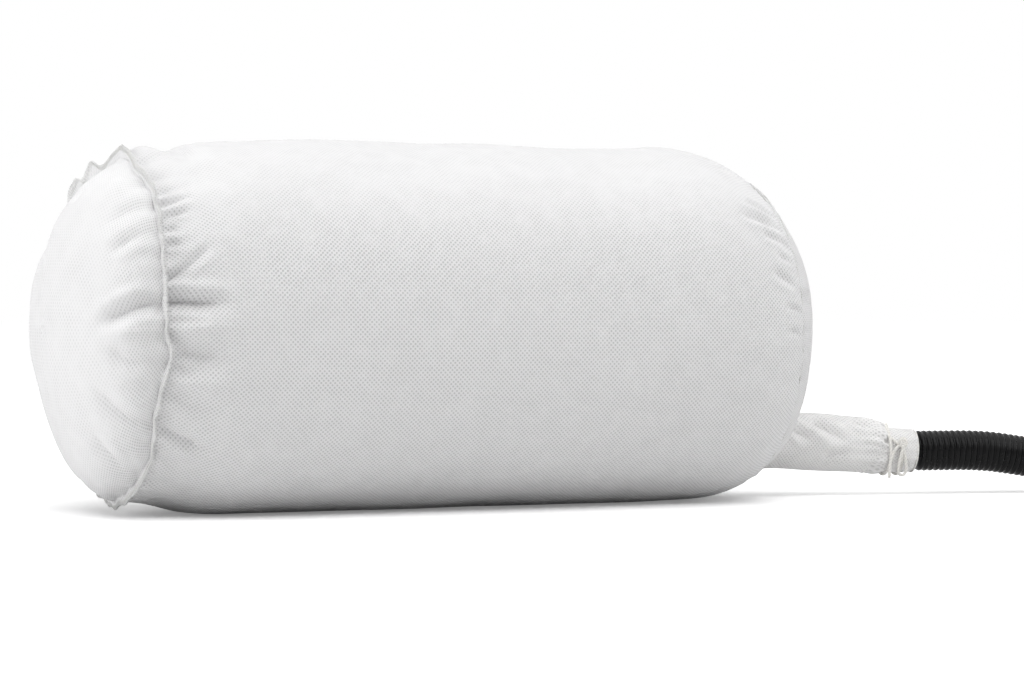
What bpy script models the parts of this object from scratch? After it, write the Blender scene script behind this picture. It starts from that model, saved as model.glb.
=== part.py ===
"""Dust collection bag with its hose.

An inflated cloth filter bag lies on its side. A cloth neck low on one end panel takes a
corrugated suction hose, which a cord ties in. The hose runs down to the floor, is put away
in a coil held by a strap, and ends in a swivel cuff for the tool.
+X runs along the bag towards the neck, -Y is its front and z = 0 is the floor.
All sizes are in metres.
"""
import bmesh
import bpy
from math import cos, pi, radians, sin
from mathutils import Vector

# Cloth and clearances
CLOTH = 0.0006            # wall of the cloth
GAP = 0.0003              # between pieces that touch
SLIDE = 0.0005            # between pieces that slide or turn

# Bag
BAG_RADIUS = 0.172
BAG_LENGTH = 0.615        # from one end seam to the other
FLOOR_SAG = 0.0065        # how far the round bag settles on the floor
CLOSED_TAPER = 0.090      # length over which the side narrows to the closed end
CLOSED_TUCK = 0.022       # how much narrower the closed end's seam is
CLOSED_RISE = 0.0025      # how far the closed end lifts
CLOSED_DOME = 0.064       # depth of the closed end panel
INLET_ROUNDING = 0.137    # length from the start of the round inlet end to its tip
INLET_SEAM = 0.088        # where the inlet end's seam lies in that length
INLET_SQUARE = 2.75       # 2 would be a plain ellipse
INLET_DROP = 0.006        # how far the tip lies below the bag's axis
SEAM_ALLOWANCE = 0.008    # cloth beyond each seam
OVERLOCK_REACH = 0.005    # cover of the edge stitching over that cloth
OVERLOCK_WALL = 0.0006
FELL_WIDTH = 0.008        # lengthwise seam on the back of the side panel
FELL_MARGIN = 0.012       # from its ends to the end seams
SIDES = 48                # facets round the bag

# Neck: places are along +X from the inlet seam, across, and up from the floor
NECK_RADIUS = 0.0278
NECK_HEIGHT = 0.0545
NECK_TAIL = 0.010         # sleeve inside the bag, behind the lowest edge of its hole
NECK_STRAIGHT = 0.050     # end of the straight stretch through the end panel
NECK_BEND = [(0.085, -0.0030, 0.0523), (0.118, -0.0105, 0.0498)]
MOUTH_REACH = 0.1955
MOUTH_SIDE = -0.028
MOUTH_HEIGHT = 0.0425
MOUTH_HEADING = radians(-12.3)
GATHER_START = 0.046      # back from the mouth, where the cord starts to draw the sleeve in
GATHER_END = 0.034
GATHER_LIFT = 0.0052      # there the slack cloth stands this much above the hose's axis
GATHER_SLACK = 0.0046     # and this much wider than the drawn-in sleeve
HEM_LENGTH = 0.014
HEM_PLY = 0.0006
NECK_SIDES = 24

# Hose and its coil
HOSE_RADIUS = 0.0195
HOSE_WALL = 0.003
STUB_LENGTH = 0.050       # hose inside the neck
STRAP_WALL = 0.001
STRAP_WIDTH = 0.020
STRAP_SLACK = 0.0014      # at each side of the hose
STRAP_AT = radians(300)
COIL_CENTRE = (0.437, 0.028)   # from the mouth
COIL_RADIUS = 0.195
COIL_START = radians(200)      # where the upper turn is whole on the lower one
RISE_START, RISE_END = radians(315), radians(348)

# The hose's way from the mouth: along +X, across, and above the floor. It then joins the coil
HOSE_ROUTE = [
    (0.0000, 0.0000, 0.0425), (0.0280, -0.0061, 0.0425), (0.0550, -0.0120, 0.0423),
    (0.0800, -0.0174, 0.0405), (0.1060, -0.0230, 0.0366), (0.1330, -0.0302, 0.0325),
    (0.1608, -0.0385, 0.0285), (0.1875, -0.0484, 0.0254), (0.2134, -0.0600, 0.0232),
    (0.2385, -0.0735, 0.0219), (0.2630, -0.0887, 0.0213), (0.2876, -0.1052, 0.0211),
]
COIL_JOIN = radians(230)

# Tie cord
CORD_RADIUS = 0.0015
WRAP_TURNS = 2
WRAP_FIRST = 0.0295       # back from the mouth
WRAP_LAST = 0.0165
WRAP_SIDES = 24
KNOT_HALF = (0.0030, 0.0028, 0.0034)   # along the hose, outwards, up
KNOT_ANGLE = radians(17.7)             # above the level, on the front
KNOT_BACK = 0.0173
BOW_LENGTH = 0.027
BOW_HALF_WIDTH = 0.004
BOW_TOP_HALF = 0.0022
TAIL_ROUTE = [(-0.0042, -0.0010), (-0.0084, -0.0060), (-0.0120, -0.0140),
              (-0.0134, -0.0230), (-0.0138, -0.0310)]

# Cuff on the free end
CUFF_SIDES = 32
COLLAR_START, COLLAR_LENGTH, COLLAR_WALL = 0.004, 0.030, 0.0015
RIM_START, RIM_WIDTH, RIM_HEIGHT = 0.0195, 0.005, 0.002   # rim from the collar's start
CUFF_LIP = 0.009          # cover of the cuff behind the rim
CUFF_LENGTH = 0.076
CUFF_WALL = 0.0019
PORT_RADIUS = 0.0175
PORT_WALL = 0.0035
CUFF_TAPER = 0.010

# Worked out from the values above
AXIS_Z = BAG_RADIUS - FLOOR_SAG
CLOSED_X = -BAG_LENGTH / 2
INLET_X = BAG_LENGTH / 2
ROUND_X = INLET_X - INLET_SEAM
TIP_Z = AXIS_Z - INLET_DROP
HEADING = Vector((cos(MOUTH_HEADING), sin(MOUTH_HEADING), 0))
FRONT = Vector((sin(MOUTH_HEADING), -cos(MOUTH_HEADING), 0))
UP = Vector((0, 0, 1))
MOUTH = Vector((INLET_X + MOUTH_REACH, MOUTH_SIDE, MOUTH_HEIGHT))
HEM_INNER = HOSE_RADIUS + SLIDE
SLEEVE_INNER = HEM_INNER + HEM_PLY + GAP
SLEEVE_OUTER = SLEEVE_INNER + CLOTH
GATHER_RADIUS = SLEEVE_OUTER + GATHER_SLACK
WRAP_RADIUS = SLEEVE_OUTER + SLIDE + CORD_RADIUS
COIL = Vector((MOUTH.x + COIL_CENTRE[0], MOUTH.y + COIL_CENTRE[1],
               STRAP_WALL + 2 * GAP + HOSE_RADIUS))
UPPER_Z = COIL.z + 2 * HOSE_RADIUS + SLIDE
COLLAR_OUTER = HOSE_RADIUS + GAP + COLLAR_WALL
RIM_OUTER = COLLAR_OUTER + RIM_HEIGHT
CUFF_OUTER = RIM_OUTER + GAP + CUFF_WALL
CUFF_Z = COIL.z + HOSE_RADIUS + SLIDE + GAP + CUFF_OUTER
CUFF_AXIS = Vector((COIL.x + COIL_RADIUS, COIL.y, CUFF_Z))

FINISHES = {
    "white_nonwoven": ((0.86, 0.87, 0.88, 1), 0.85),
    "seam_thread": ((0.90, 0.89, 0.86, 1), 0.90),
    "cream_cord": ((0.84, 0.80, 0.70, 1), 0.85),
    "black_hose": ((0.012, 0.012, 0.014, 1), 0.22),
    "black_cuff": ((0.020, 0.020, 0.022, 1), 0.45),
    "black_strap": ((0.030, 0.030, 0.032, 1), 0.80),
}


def clear_scene():
    for obj in list(bpy.data.objects):
        bpy.data.objects.remove(obj, do_unlink=True)


def finish_material(name, finish):
    colour, roughness = FINISHES[finish]
    material = bpy.data.materials.new(name + "_finish")
    material.use_nodes = True
    shader = material.node_tree.nodes["Principled BSDF"]
    shader.inputs["Base Color"].default_value = colour
    shader.inputs["Roughness"].default_value = roughness
    shader.inputs["Metallic"].default_value = 0.0
    return material


def place(obj, finish, pivot):
    """Puts an object, drawn in the bag's frame, in the scene and hangs it on its pivot."""
    bpy.context.scene.collection.objects.link(obj)
    obj.data.materials.append(finish_material(obj.name, finish))
    if pivot:
        obj.parent = pivot
        obj.location = -pivot.location
    return obj


def pivot_empty(name, point):
    empty = bpy.data.objects.new(name, None)
    empty.location = point
    bpy.context.scene.collection.objects.link(empty)
    return empty


def loft(name, rings, finish, closed=False, pivot=None):
    """A solid through rings of points. A closed one joins its last ring to its first."""
    bm = bmesh.new()
    rows = [[bm.verts.new(point) for point in ring] for ring in rings]
    count = len(rows[0])
    pairs = list(zip(rows, rows[1:]))
    if closed:
        pairs.append((rows[-1], rows[0]))
    for low, high in pairs:
        for i in range(count):
            j = (i + 1) % count
            bm.faces.new((low[i], low[j], high[j], high[i]))
    if not closed:
        bm.faces.new(rows[0])
        bm.faces.new(rows[-1])
    bmesh.ops.recalc_face_normals(bm, faces=bm.faces)
    mesh = bpy.data.meshes.new(name)
    bm.to_mesh(mesh)
    bm.free()
    mesh.shade_smooth()
    mesh.set_sharp_from_angle(angle=radians(35))
    return place(bpy.data.objects.new(name, mesh), finish, pivot)


def cord(name, points, radius, resolution, finish, pivot=None):
    """A filled round tube along a line of points."""
    curve = bpy.data.curves.new(name, "CURVE")
    curve.dimensions = "3D"
    curve.bevel_depth = radius
    curve.bevel_resolution = resolution
    curve.use_fill_caps = True
    spline = curve.splines.new("POLY")
    spline.points.add(len(points) - 1)
    for target, point in zip(spline.points, points):
        target.co = (*point, 1)
    return place(bpy.data.objects.new(name, curve), finish, pivot)


def smooth_line(points, steps):
    """Points on a smooth curve that passes through the given ones."""
    padded = [2 * points[0] - points[1], *points, 2 * points[-1] - points[-2]]
    line = []
    for a, b, c, d in zip(padded, padded[1:], padded[2:], padded[3:]):
        for i in range(steps):
            t = i / steps
            line.append(0.5 * (2 * b + (c - a) * t + (2 * a - 5 * b + 4 * c - d) * t * t
                               + (3 * b - a - 3 * c + d) * t ** 3))
    return [*line, points[-1]]


def ease(t):
    t = min(max(t, 0), 1)
    return t * t * (3 - 2 * t)


def inlet_radius(x):
    t = min(max((x - ROUND_X) / INLET_ROUNDING, 0), 1)
    return BAG_RADIUS * (1 - t ** INLET_SQUARE) ** (1 / INLET_SQUARE)


def side_radius(x):
    """Outer radius of the side panel."""
    if x > ROUND_X:
        return inlet_radius(x)
    t = min((x - CLOSED_X) / CLOSED_TAPER, 1)
    return BAG_RADIUS - CLOSED_TUCK * (1 - sin(t * pi / 2))


def axis_height(x):
    closed = CLOSED_RISE * (1 - ease((x - CLOSED_X) / CLOSED_TAPER))
    inlet = INLET_DROP * min(max((x - ROUND_X) / INLET_ROUNDING, 0), 1)
    return AXIS_Z + closed - inlet


def neck_start():
    """Where the sleeve starts inside the bag, a set way behind the lowest edge of its hole."""
    below = TIP_Z - (NECK_HEIGHT - NECK_RADIUS)
    along = INLET_ROUNDING * (1 - (below / BAG_RADIUS) ** INLET_SQUARE) ** (1 / INLET_SQUARE)
    return ROUND_X + along - NECK_TAIL


def bag_ring(x, radius, inset=0.0):
    """A round section of the bag that lies flat where it meets the floor."""
    centre = axis_height(x)
    ring = []
    for i in range(SIDES):
        angle = 2 * pi * i / SIDES
        ring.append((x, radius * sin(angle), max(centre - radius * cos(angle), inset)))
    return ring


def side_stations():
    closed = [CLOSED_X + CLOSED_TAPER * t for t in (0.0, 0.1, 0.25, 0.5, 0.75, 1.0)]
    inlet = [ROUND_X + INLET_SEAM * t for t in (0.0, 0.25, 0.5, 0.7, 0.85, 1.0)]
    return closed + inlet


def side_panel():
    stations = side_stations()
    outside = [bag_ring(x, side_radius(x)) for x in stations]
    inside = [bag_ring(x, side_radius(x) - CLOTH, CLOTH) for x in stations]
    closed_tip = side_radius(CLOSED_X) + SEAM_ALLOWANCE
    inlet_tip = side_radius(INLET_X) - SEAM_ALLOWANCE
    flange = [bag_ring(CLOSED_X, closed_tip), bag_ring(CLOSED_X + CLOTH, closed_tip)]
    outside[0] = bag_ring(CLOSED_X + CLOTH, side_radius(CLOSED_X))
    turned_in = [bag_ring(INLET_X, inlet_tip), bag_ring(INLET_X - CLOTH, inlet_tip)]
    inside[-1] = bag_ring(INLET_X - CLOTH, side_radius(INLET_X) - CLOTH)
    loft("side_panel", flange + outside + turned_in + inside[::-1], "white_nonwoven", closed=True)


def lengthwise_seam():
    """A flat felled strip along the middle of one facet of the side panel's back."""
    facet = pi / SIDES
    angle = pi / 2 + facet
    across = Vector((0, cos(angle), sin(angle)))
    out = Vector((0, sin(angle), -cos(angle)))
    stations = side_stations()
    stations[0] += FELL_MARGIN
    stations[1] += FELL_MARGIN
    stations[-1] -= FELL_MARGIN
    rings = []
    for x in stations:
        foot = Vector((x, 0, axis_height(x))) + out * (side_radius(x) * cos(facet) + GAP)
        half = across * FELL_WIDTH / 2
        rise = out * CLOTH * 2
        rings.append([foot - half, foot + half, foot + half + rise, foot - half + rise])
    loft("lengthwise_seam", rings, "white_nonwoven")


def closed_end_panel():
    rim = side_radius(CLOSED_X)
    face = CLOSED_X - GAP
    steps = [radians(a) for a in (14, 28, 42, 56, 70, 84)]
    tip = rim + SEAM_ALLOWANCE
    outside = [bag_ring(face - CLOTH - CLOSED_DOME * sin(a), rim * cos(a)) for a in steps]
    inside = [bag_ring(face - (CLOSED_DOME - CLOTH) * sin(a), (rim - CLOTH) * cos(a)) for a in steps]
    edge = [bag_ring(face - CLOTH, rim), bag_ring(face - CLOTH, tip),
            bag_ring(face, tip), bag_ring(face, rim - CLOTH)]
    loft("closed_end_panel", outside[::-1] + edge + inside, "white_nonwoven")


def inlet_end_panel():
    rim = side_radius(INLET_X)
    face = INLET_X + GAP
    stations = [0.25, 0.5, 0.7, 0.85, 0.94, 0.985]
    depth = INLET_ROUNDING - INLET_SEAM
    tip = rim - SEAM_ALLOWANCE
    outside = [bag_ring(face + depth * t, inlet_radius(INLET_X + depth * t)) for t in stations]
    inside = [bag_ring(face - CLOTH + depth * t, inlet_radius(INLET_X + depth * t) - CLOTH)
              for t in stations]
    edge = [bag_ring(face, rim), bag_ring(face, tip), bag_ring(face + CLOTH, tip),
            bag_ring(face + CLOTH, rim - CLOTH)]
    panel = loft("inlet_end_panel", outside[::-1] + edge + inside, "white_nonwoven")
    hole = NECK_RADIUS + GAP
    ends = (neck_start(), INLET_X + INLET_ROUNDING)
    cutter = loft("neck_hole_cutter",
                  [neck_ring(Vector((x, 0, NECK_HEIGHT)), 0, hole) for x in ends],
                  "white_nonwoven")
    cutter.hide_render = True
    cutter.display_type = "WIRE"
    cut = panel.modifiers.new("neck_hole", "BOOLEAN")
    cut.operation = "DIFFERENCE"
    cut.object = cutter


def edge_binding(name, x_low, x_high, tip, inwards):
    """Overlock stitching: a U-shaped ring over the edges of two panels sewn face to face."""
    way = 1 if inwards else -1
    low, high = x_low - GAP - OVERLOCK_WALL, x_high + GAP + OVERLOCK_WALL
    outer = tip - way * (GAP + OVERLOCK_WALL)
    inner = tip + way * OVERLOCK_REACH
    web = tip - way * GAP
    outline = [(low, inner), (low, outer), (high, outer), (high, inner),
               (high - OVERLOCK_WALL, inner), (high - OVERLOCK_WALL, web),
               (low + OVERLOCK_WALL, web), (low + OVERLOCK_WALL, inner)]
    centre_x = (x_low + x_high) / 2
    rings = []
    for x, radius in outline:
        rings.append([(x, y, z) for _, y, z in bag_ring(centre_x, radius)])
    loft(name, rings, "seam_thread", closed=True)


def neck_ring(centre, heading, radius):
    across = Vector((sin(heading), -cos(heading), 0))
    return [centre + across * radius * sin(2 * pi * i / NECK_SIDES)
            - UP * radius * cos(2 * pi * i / NECK_SIDES) for i in range(NECK_SIDES)]


def neck_sleeve():
    start = [(Vector((x, 0, NECK_HEIGHT)), 0, NECK_RADIUS)
             for x in (neck_start(), INLET_X + NECK_STRAIGHT)]
    turns = (0.3 * MOUTH_HEADING, 0.8 * MOUTH_HEADING)
    bend = [(Vector((INLET_X + x, y, z)), turn, NECK_RADIUS)
            for (x, y, z), turn in zip(NECK_BEND, turns)]
    slack = MOUTH - HEADING * GATHER_START + UP * GATHER_LIFT
    end = [(slack, MOUTH_HEADING, GATHER_RADIUS),
           (MOUTH - HEADING * GATHER_END, MOUTH_HEADING, SLEEVE_OUTER),
           (MOUTH, MOUTH_HEADING, SLEEVE_OUTER)]
    stations = start + bend + end
    outside = [neck_ring(*station) for station in stations]
    inside = [neck_ring(c, turn, radius - CLOTH) for c, turn, radius in stations]
    loft("neck_sleeve", outside + inside[::-1], "white_nonwoven", closed=True)


def neck_root_overlock():
    x = neck_start()
    back, front = x - GAP - OVERLOCK_WALL, x + OVERLOCK_REACH
    inner = NECK_RADIUS - CLOTH - GAP
    outer = NECK_RADIUS + GAP
    outline = [(front, outer + OVERLOCK_WALL), (back, outer + OVERLOCK_WALL),
               (back, inner - OVERLOCK_WALL), (front, inner - OVERLOCK_WALL),
               (front, inner), (x - GAP, inner), (x - GAP, outer), (front, outer)]
    rings = [neck_ring(Vector((px, 0, NECK_HEIGHT)), 0, radius) for px, radius in outline]
    loft("neck_root_overlock", rings, "seam_thread", closed=True)


def pipe(name, start, end, inner, outer, finish, pivot=None):
    """A straight round pipe between two distances along the mouth's axis."""
    rings = [neck_ring(MOUTH + HEADING * at, MOUTH_HEADING, radius)
             for at, radius in ((start, outer), (end, outer), (end, inner), (start, inner))]
    return loft(name, rings, finish, closed=True, pivot=pivot)


def on_tie(along, out, up):
    """A point near the knot: along the hose, out to the front and up, from the mouth's axis."""
    return MOUTH + HEADING * along + FRONT * out + UP * up


def tie_cord(pivot):
    total = WRAP_TURNS * WRAP_SIDES
    helix = []
    for i in range(total + 1):
        angle = KNOT_ANGLE + 2 * pi * i / WRAP_SIDES
        along = -WRAP_FIRST + (WRAP_FIRST - WRAP_LAST) * i / total
        helix.append(on_tie(along, WRAP_RADIUS * cos(angle), WRAP_RADIUS * sin(angle)))
    cord("tie_cord_wraps", helix, CORD_RADIUS, 2, "cream_cord", pivot)

    knot_at = WRAP_RADIUS + CORD_RADIUS + GAP + KNOT_HALF[1]
    out, up = knot_at * cos(KNOT_ANGLE), knot_at * sin(KNOT_ANGLE)
    knot = []
    for lift in (-75, -45, -15, 15, 45, 75):
        level = radians(lift)
        knot.append([on_tie(-KNOT_BACK + KNOT_HALF[0] * cos(level) * cos(pi * i / 6),
                            out + KNOT_HALF[1] * cos(level) * sin(pi * i / 6),
                            up + KNOT_HALF[2] * sin(level)) for i in range(12)])
    loft("tie_cord_knot", knot, "cream_cord", pivot=pivot)

    top = up - KNOT_HALF[2] - GAP
    low = top - BOW_LENGTH + BOW_HALF_WIDTH
    side = [(BOW_TOP_HALF, top), (0.7 * BOW_HALF_WIDTH + 0.3 * BOW_TOP_HALF, (top + low) / 2)]
    bottom = [(BOW_HALF_WIDTH * cos(pi * i / 8), low - BOW_HALF_WIDTH * sin(pi * i / 8))
              for i in range(9)]
    bow = side + bottom + [(-x, z) for x, z in side[::-1]]
    cord("tie_cord_bow", [on_tie(-KNOT_BACK + x, out, z) for x, z in bow],
         CORD_RADIUS, 2, "cream_cord", pivot)
    tail = smooth_line([on_tie(-KNOT_BACK + x, out, up + z) for x, z in TAIL_ROUTE], 2)
    cord("tie_cord_tail", tail, CORD_RADIUS, 2, "cream_cord", pivot)


def coil_point(angle, height, radius=None):
    reach = COIL_RADIUS if radius is None else radius
    return Vector((COIL.x + reach * cos(angle), COIL.y + reach * sin(angle), height))


def room_at_coil(point, way):
    """Room between the lower turn and the rim of a hose that ends at this point."""
    across = way.cross(UP).normalized() * HOSE_RADIUS
    upright = across.cross(way).normalized() * HOSE_RADIUS
    rooms = []
    for i in range(24):
        rim = point + across * cos(pi * i / 12) + upright * sin(pi * i / 12)
        out = (rim.xy - COIL.xy).length - COIL_RADIUS
        rooms.append(Vector((out, rim.z - COIL.z)).length - HOSE_RADIUS)
    return min(rooms)


def up_to_coil(line):
    """The part of the line that brings a hose along it to the coil's lower turn."""
    clear = [line[0]]
    for a, b in zip(line, line[1:]):
        if room_at_coil(b, b - a) < GAP:
            low, high = 0.0, 1.0
            while high - low > 0.01:
                middle = (low + high) / 2
                if room_at_coil(a.lerp(b, middle), b - a) < GAP:
                    high = middle
                else:
                    low = middle
            return [*clear, a.lerp(b, low)]
        clear.append(b)
    return clear


def hose(pivot):
    pipe("hose_stub", -STUB_LENGTH, 0.0, HOSE_RADIUS - HOSE_WALL, HOSE_RADIUS, "black_hose", pivot)
    start = Vector((MOUTH.x, MOUTH.y, 0))
    route = [start + Vector(point) for point in HOSE_ROUTE] + [coil_point(COIL_JOIN, COIL.z)]
    route[0] += HEADING * GAP
    cord("hose_run", up_to_coil(smooth_line(route, 2)), HOSE_RADIUS, 4, "black_hose", pivot)

    rings = []
    for i in range(SIDES):
        angle = 2 * pi * i / SIDES
        rings.append([coil_point(angle, COIL.z - HOSE_RADIUS * cos(2 * pi * k / 12),
                                 COIL_RADIUS + HOSE_RADIUS * sin(2 * pi * k / 12))
                      for k in range(12)])
    loft("hose_coil", rings, "black_hose", closed=True, pivot=pivot)

    upper = []
    count = 18
    for i in range(count + 1):
        angle = COIL_START + (2 * pi - COIL_START) * i / count
        rise = ease((angle - RISE_START) / (RISE_END - RISE_START))
        upper.append(coil_point(angle, UPPER_Z + (CUFF_Z - UPPER_Z) * rise))
    upper.append(CUFF_AXIS + Vector((0, COLLAR_START + COLLAR_LENGTH - GAP, 0)))
    cord("hose_top_run", upper, HOSE_RADIUS, 4, "black_hose", pivot)


def coil_strap(pivot):
    """A band round both turns of the coil, with round ends."""
    half = HOSE_RADIUS + STRAP_SLACK
    bottom = STRAP_WALL + half
    top = UPPER_Z + HOSE_RADIUS + 2 * GAP - half
    out = Vector((cos(STRAP_AT), sin(STRAP_AT), 0))
    along = Vector((-sin(STRAP_AT), cos(STRAP_AT), 0))
    middle = coil_point(STRAP_AT, 0)
    rings = []
    for side, extra in ((-1, STRAP_WALL), (1, STRAP_WALL), (1, 0), (-1, 0)):
        ring = []
        for i in range(24):
            angle = 2 * pi * (i + 0.5) / 24
            centre = top if sin(angle) > 0 else bottom
            reach = half + extra
            ring.append(middle + out * reach * cos(angle) + UP * (centre + reach * sin(angle))
                        + along * side * STRAP_WIDTH / 2)
        rings.append(ring)
    loft("coil_strap", rings, "black_strap", closed=True, pivot=pivot)


def turned(name, outline, finish, pivot):
    """A turned piece on the cuff's axis, from its outline of distances along it and radii."""
    rings = []
    for along, radius in outline:
        rings.append([CUFF_AXIS + Vector((radius * sin(2 * pi * i / CUFF_SIDES), along,
                                          radius * cos(2 * pi * i / CUFF_SIDES)))
                      for i in range(CUFF_SIDES)])
    return loft(name, rings, finish, closed=True, pivot=pivot)


def hose_end_collar(pivot):
    start, end = COLLAR_START, COLLAR_START + COLLAR_LENGTH
    inner = HOSE_RADIUS + GAP
    rim_low = COLLAR_START + RIM_START
    rim_high = rim_low + RIM_WIDTH
    outline = [(start, inner), (start, COLLAR_OUTER), (rim_low, COLLAR_OUTER),
               (rim_low, RIM_OUTER), (rim_high, RIM_OUTER), (rim_high, COLLAR_OUTER),
               (end, COLLAR_OUTER), (end, inner)]
    turned("hose_end_collar", outline, "black_cuff", pivot)


def swivel_cuff(pivot):
    rim_low = COLLAR_START + RIM_START - SLIDE
    start = rim_low - CUFF_LIP
    floor = COLLAR_START + COLLAR_LENGTH + SLIDE
    end = start + CUFF_LENGTH
    lip, groove = COLLAR_OUTER + GAP, RIM_OUTER + GAP
    port_outer = PORT_RADIUS + PORT_WALL
    shoulder = floor + CUFF_WALL
    outline = [(start, lip), (start, CUFF_OUTER), (shoulder, CUFF_OUTER),
               (shoulder + CUFF_TAPER, port_outer), (end, port_outer), (end, PORT_RADIUS),
               (floor, PORT_RADIUS), (floor, groove), (rim_low, groove), (rim_low, lip)]
    turned("swivel_cuff", outline, "black_cuff", pivot)


def main():
    clear_scene()
    side_panel()
    lengthwise_seam()
    closed_end_panel()
    edge_binding("closed_end_overlock", CLOSED_X - GAP - CLOTH, CLOSED_X + CLOTH,
                 side_radius(CLOSED_X) + SEAM_ALLOWANCE, inwards=False)
    inlet_end_panel()
    edge_binding("inlet_end_overlock", INLET_X - CLOTH, INLET_X + GAP + CLOTH,
                 side_radius(INLET_X) - SEAM_ALLOWANCE, inwards=True)
    neck_sleeve()
    neck_root_overlock()
    pipe("neck_hem", -HEM_LENGTH, 0.0, HEM_INNER, HEM_INNER + HEM_PLY, "white_nonwoven")
    tie_cord(pivot_empty("tie_slip_axis", MOUTH - HEADING * KNOT_BACK))
    hose_pivot = pivot_empty("hose_pull_axis", MOUTH)
    hose(hose_pivot)
    coil_strap(hose_pivot)
    hose_end_collar(hose_pivot)
    swivel_cuff(pivot_empty("cuff_swivel_axis", CUFF_AXIS))


main()
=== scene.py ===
"""Dust collection bag with its hose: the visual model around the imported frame.

+X runs along the bag towards its neck, -Y is the bag's front and z = 0 is the floor. Metres throughout.
Angles round the bag are measured from its bottom, and pass its back, top and front in turn.
"""
from contextlib import contextmanager

import bmesh
import bpy
import numpy as np
from bpy.props import BoolProperty, FloatProperty, FloatVectorProperty, IntProperty, PointerProperty
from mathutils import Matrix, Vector


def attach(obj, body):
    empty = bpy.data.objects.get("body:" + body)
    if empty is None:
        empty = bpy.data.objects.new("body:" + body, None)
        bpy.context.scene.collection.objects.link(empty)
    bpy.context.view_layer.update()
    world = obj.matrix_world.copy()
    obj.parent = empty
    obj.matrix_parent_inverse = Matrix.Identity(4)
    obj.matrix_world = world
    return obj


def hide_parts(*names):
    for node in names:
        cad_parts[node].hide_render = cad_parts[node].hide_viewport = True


bl_info = {
    "name": "Dust Collection Bag",
    "version": (1, 0, 0),
    "blender": (4, 5, 0),
    "location": "View3D > Sidebar > Dust Bag",
    "description": "Builds an inflated cloth dust bag, its tied neck and its coiled hose",
    "category": "Add Mesh",
}

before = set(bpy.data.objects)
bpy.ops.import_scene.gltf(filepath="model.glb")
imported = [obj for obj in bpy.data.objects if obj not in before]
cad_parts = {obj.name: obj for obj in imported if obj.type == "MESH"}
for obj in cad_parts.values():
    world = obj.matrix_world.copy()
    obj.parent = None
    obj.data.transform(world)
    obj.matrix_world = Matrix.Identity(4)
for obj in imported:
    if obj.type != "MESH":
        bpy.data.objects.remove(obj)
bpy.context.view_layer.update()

PI = np.pi
CLOTH = 0.0006                    # wall of the bag's cloth
GAP = 0.0003                      # between pieces that touch
EDGE_LIFT = 0.0006                # how far the seams' loose edges stay off the floor
PLY_SHIFT = 0.0007                # from the middle of the closed seam's edge to each of its plies

# Bag, as in the frame
BAG_RADIUS = 0.172
BAG_LENGTH = 0.615
FLOOR_SAG = 0.0065
CLOSED_TAPER = 0.090
CLOSED_TUCK = 0.022
CLOSED_RISE = 0.0025
CLOSED_DOME = 0.064
INLET_ROUNDING = 0.137
INLET_SEAM = 0.088
INLET_SQUARE = 2.75
INLET_DROP = 0.006
SEAM_ALLOWANCE = 0.008
SEAM_COLUMNS = 560                # columns of faces round the bag along its seams
CLOSED_EDGE = (0.003, 0.0055, SEAM_ALLOWANCE)    # rows across the closed seam's edge
INLET_EDGE = (0.002, 0.005, SEAM_ALLOWANCE)      # and across the inlet seam's
CLOSED_FLAT = 0.169               # radius of each end's cloth when flat, up to its seam
INLET_FLAT = 0.166
FELL_MARGIN = 0.0125              # from the lengthwise seam's ends to the end seams
CLOSED_X = -BAG_LENGTH / 2
INLET_X = BAG_LENGTH / 2
ROUND_X = INLET_X - INLET_SEAM
AXIS_Z = BAG_RADIUS - FLOOR_SAG
FELL_ANGLE = PI / 2 + PI / 48

# Neck and mouth
NECK_RADIUS = 0.0278
NECK_HEIGHT = 0.0545
NECK_TAIL = 0.010
NECK_CLOTH = 0.0005
NECK_COLUMNS = 160
HEM_OUTER = 0.0209
HEM_LENGTH = 0.014
MOUTH = np.array([INLET_X + 0.1955, -0.028, 0.0425])
MOUTH_TURN = np.radians(-12.3)
HEADING = np.array([np.cos(MOUTH_TURN), np.sin(MOUTH_TURN), 0.0])
FRONT = np.array([np.sin(MOUTH_TURN), -np.cos(MOUTH_TURN), 0.0])
UP = np.array([0.0, 0.0, 1.0])
TIE_SHIFT = -0.0040               # of the whole tie, back from where the mouth is in the frame
KNOT_AT = -0.0173
KNOT_TURN = np.radians(17.7)
FIRST_TURN_AT = -0.0298
TURN_STEP = 0.0128                # from the cord's first turn to its second

# Hose, coil and cuff
HOSE_RADIUS = 0.0195
SNUG = 0.0005                     # between the coil's turns, and in the cuff's fit
STUB_LENGTH = 0.050
STRAP_WALL = 0.001
STRAP_SLACK = 0.0014
STRAP_AT = np.radians(300)
COIL_RADIUS = 0.195
COIL = np.array([MOUTH[0] + 0.437, MOUTH[1] + 0.028, STRAP_WALL + 2 * GAP + HOSE_RADIUS])
UPPER_Z = COIL[2] + 2 * HOSE_RADIUS + SNUG
COLLAR_OUTER = HOSE_RADIUS + GAP + 0.0015
RIM_OUTER = COLLAR_OUTER + 0.002
CUFF_OUTER = RIM_OUTER + GAP + 0.0019
CUFF_Z = COIL[2] + HOSE_RADIUS + SNUG + GAP + CUFF_OUTER
CUFF_AXIS = np.array([COIL[0] + COIL_RADIUS, COIL[1], CUFF_Z])
HOSE_ROUTE = [
    (0.0000, 0.0000, 0.0425), (0.0280, -0.0061, 0.0425), (0.0550, -0.0120, 0.0423),
    (0.0800, -0.0174, 0.0405), (0.1060, -0.0230, 0.0366), (0.1330, -0.0302, 0.0325),
    (0.1608, -0.0385, 0.0285), (0.1875, -0.0484, 0.0254), (0.2134, -0.0600, 0.0232),
    (0.2385, -0.0735, 0.0219), (0.2630, -0.0887, 0.0213), (0.2876, -0.1052, 0.0211),
]

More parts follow.
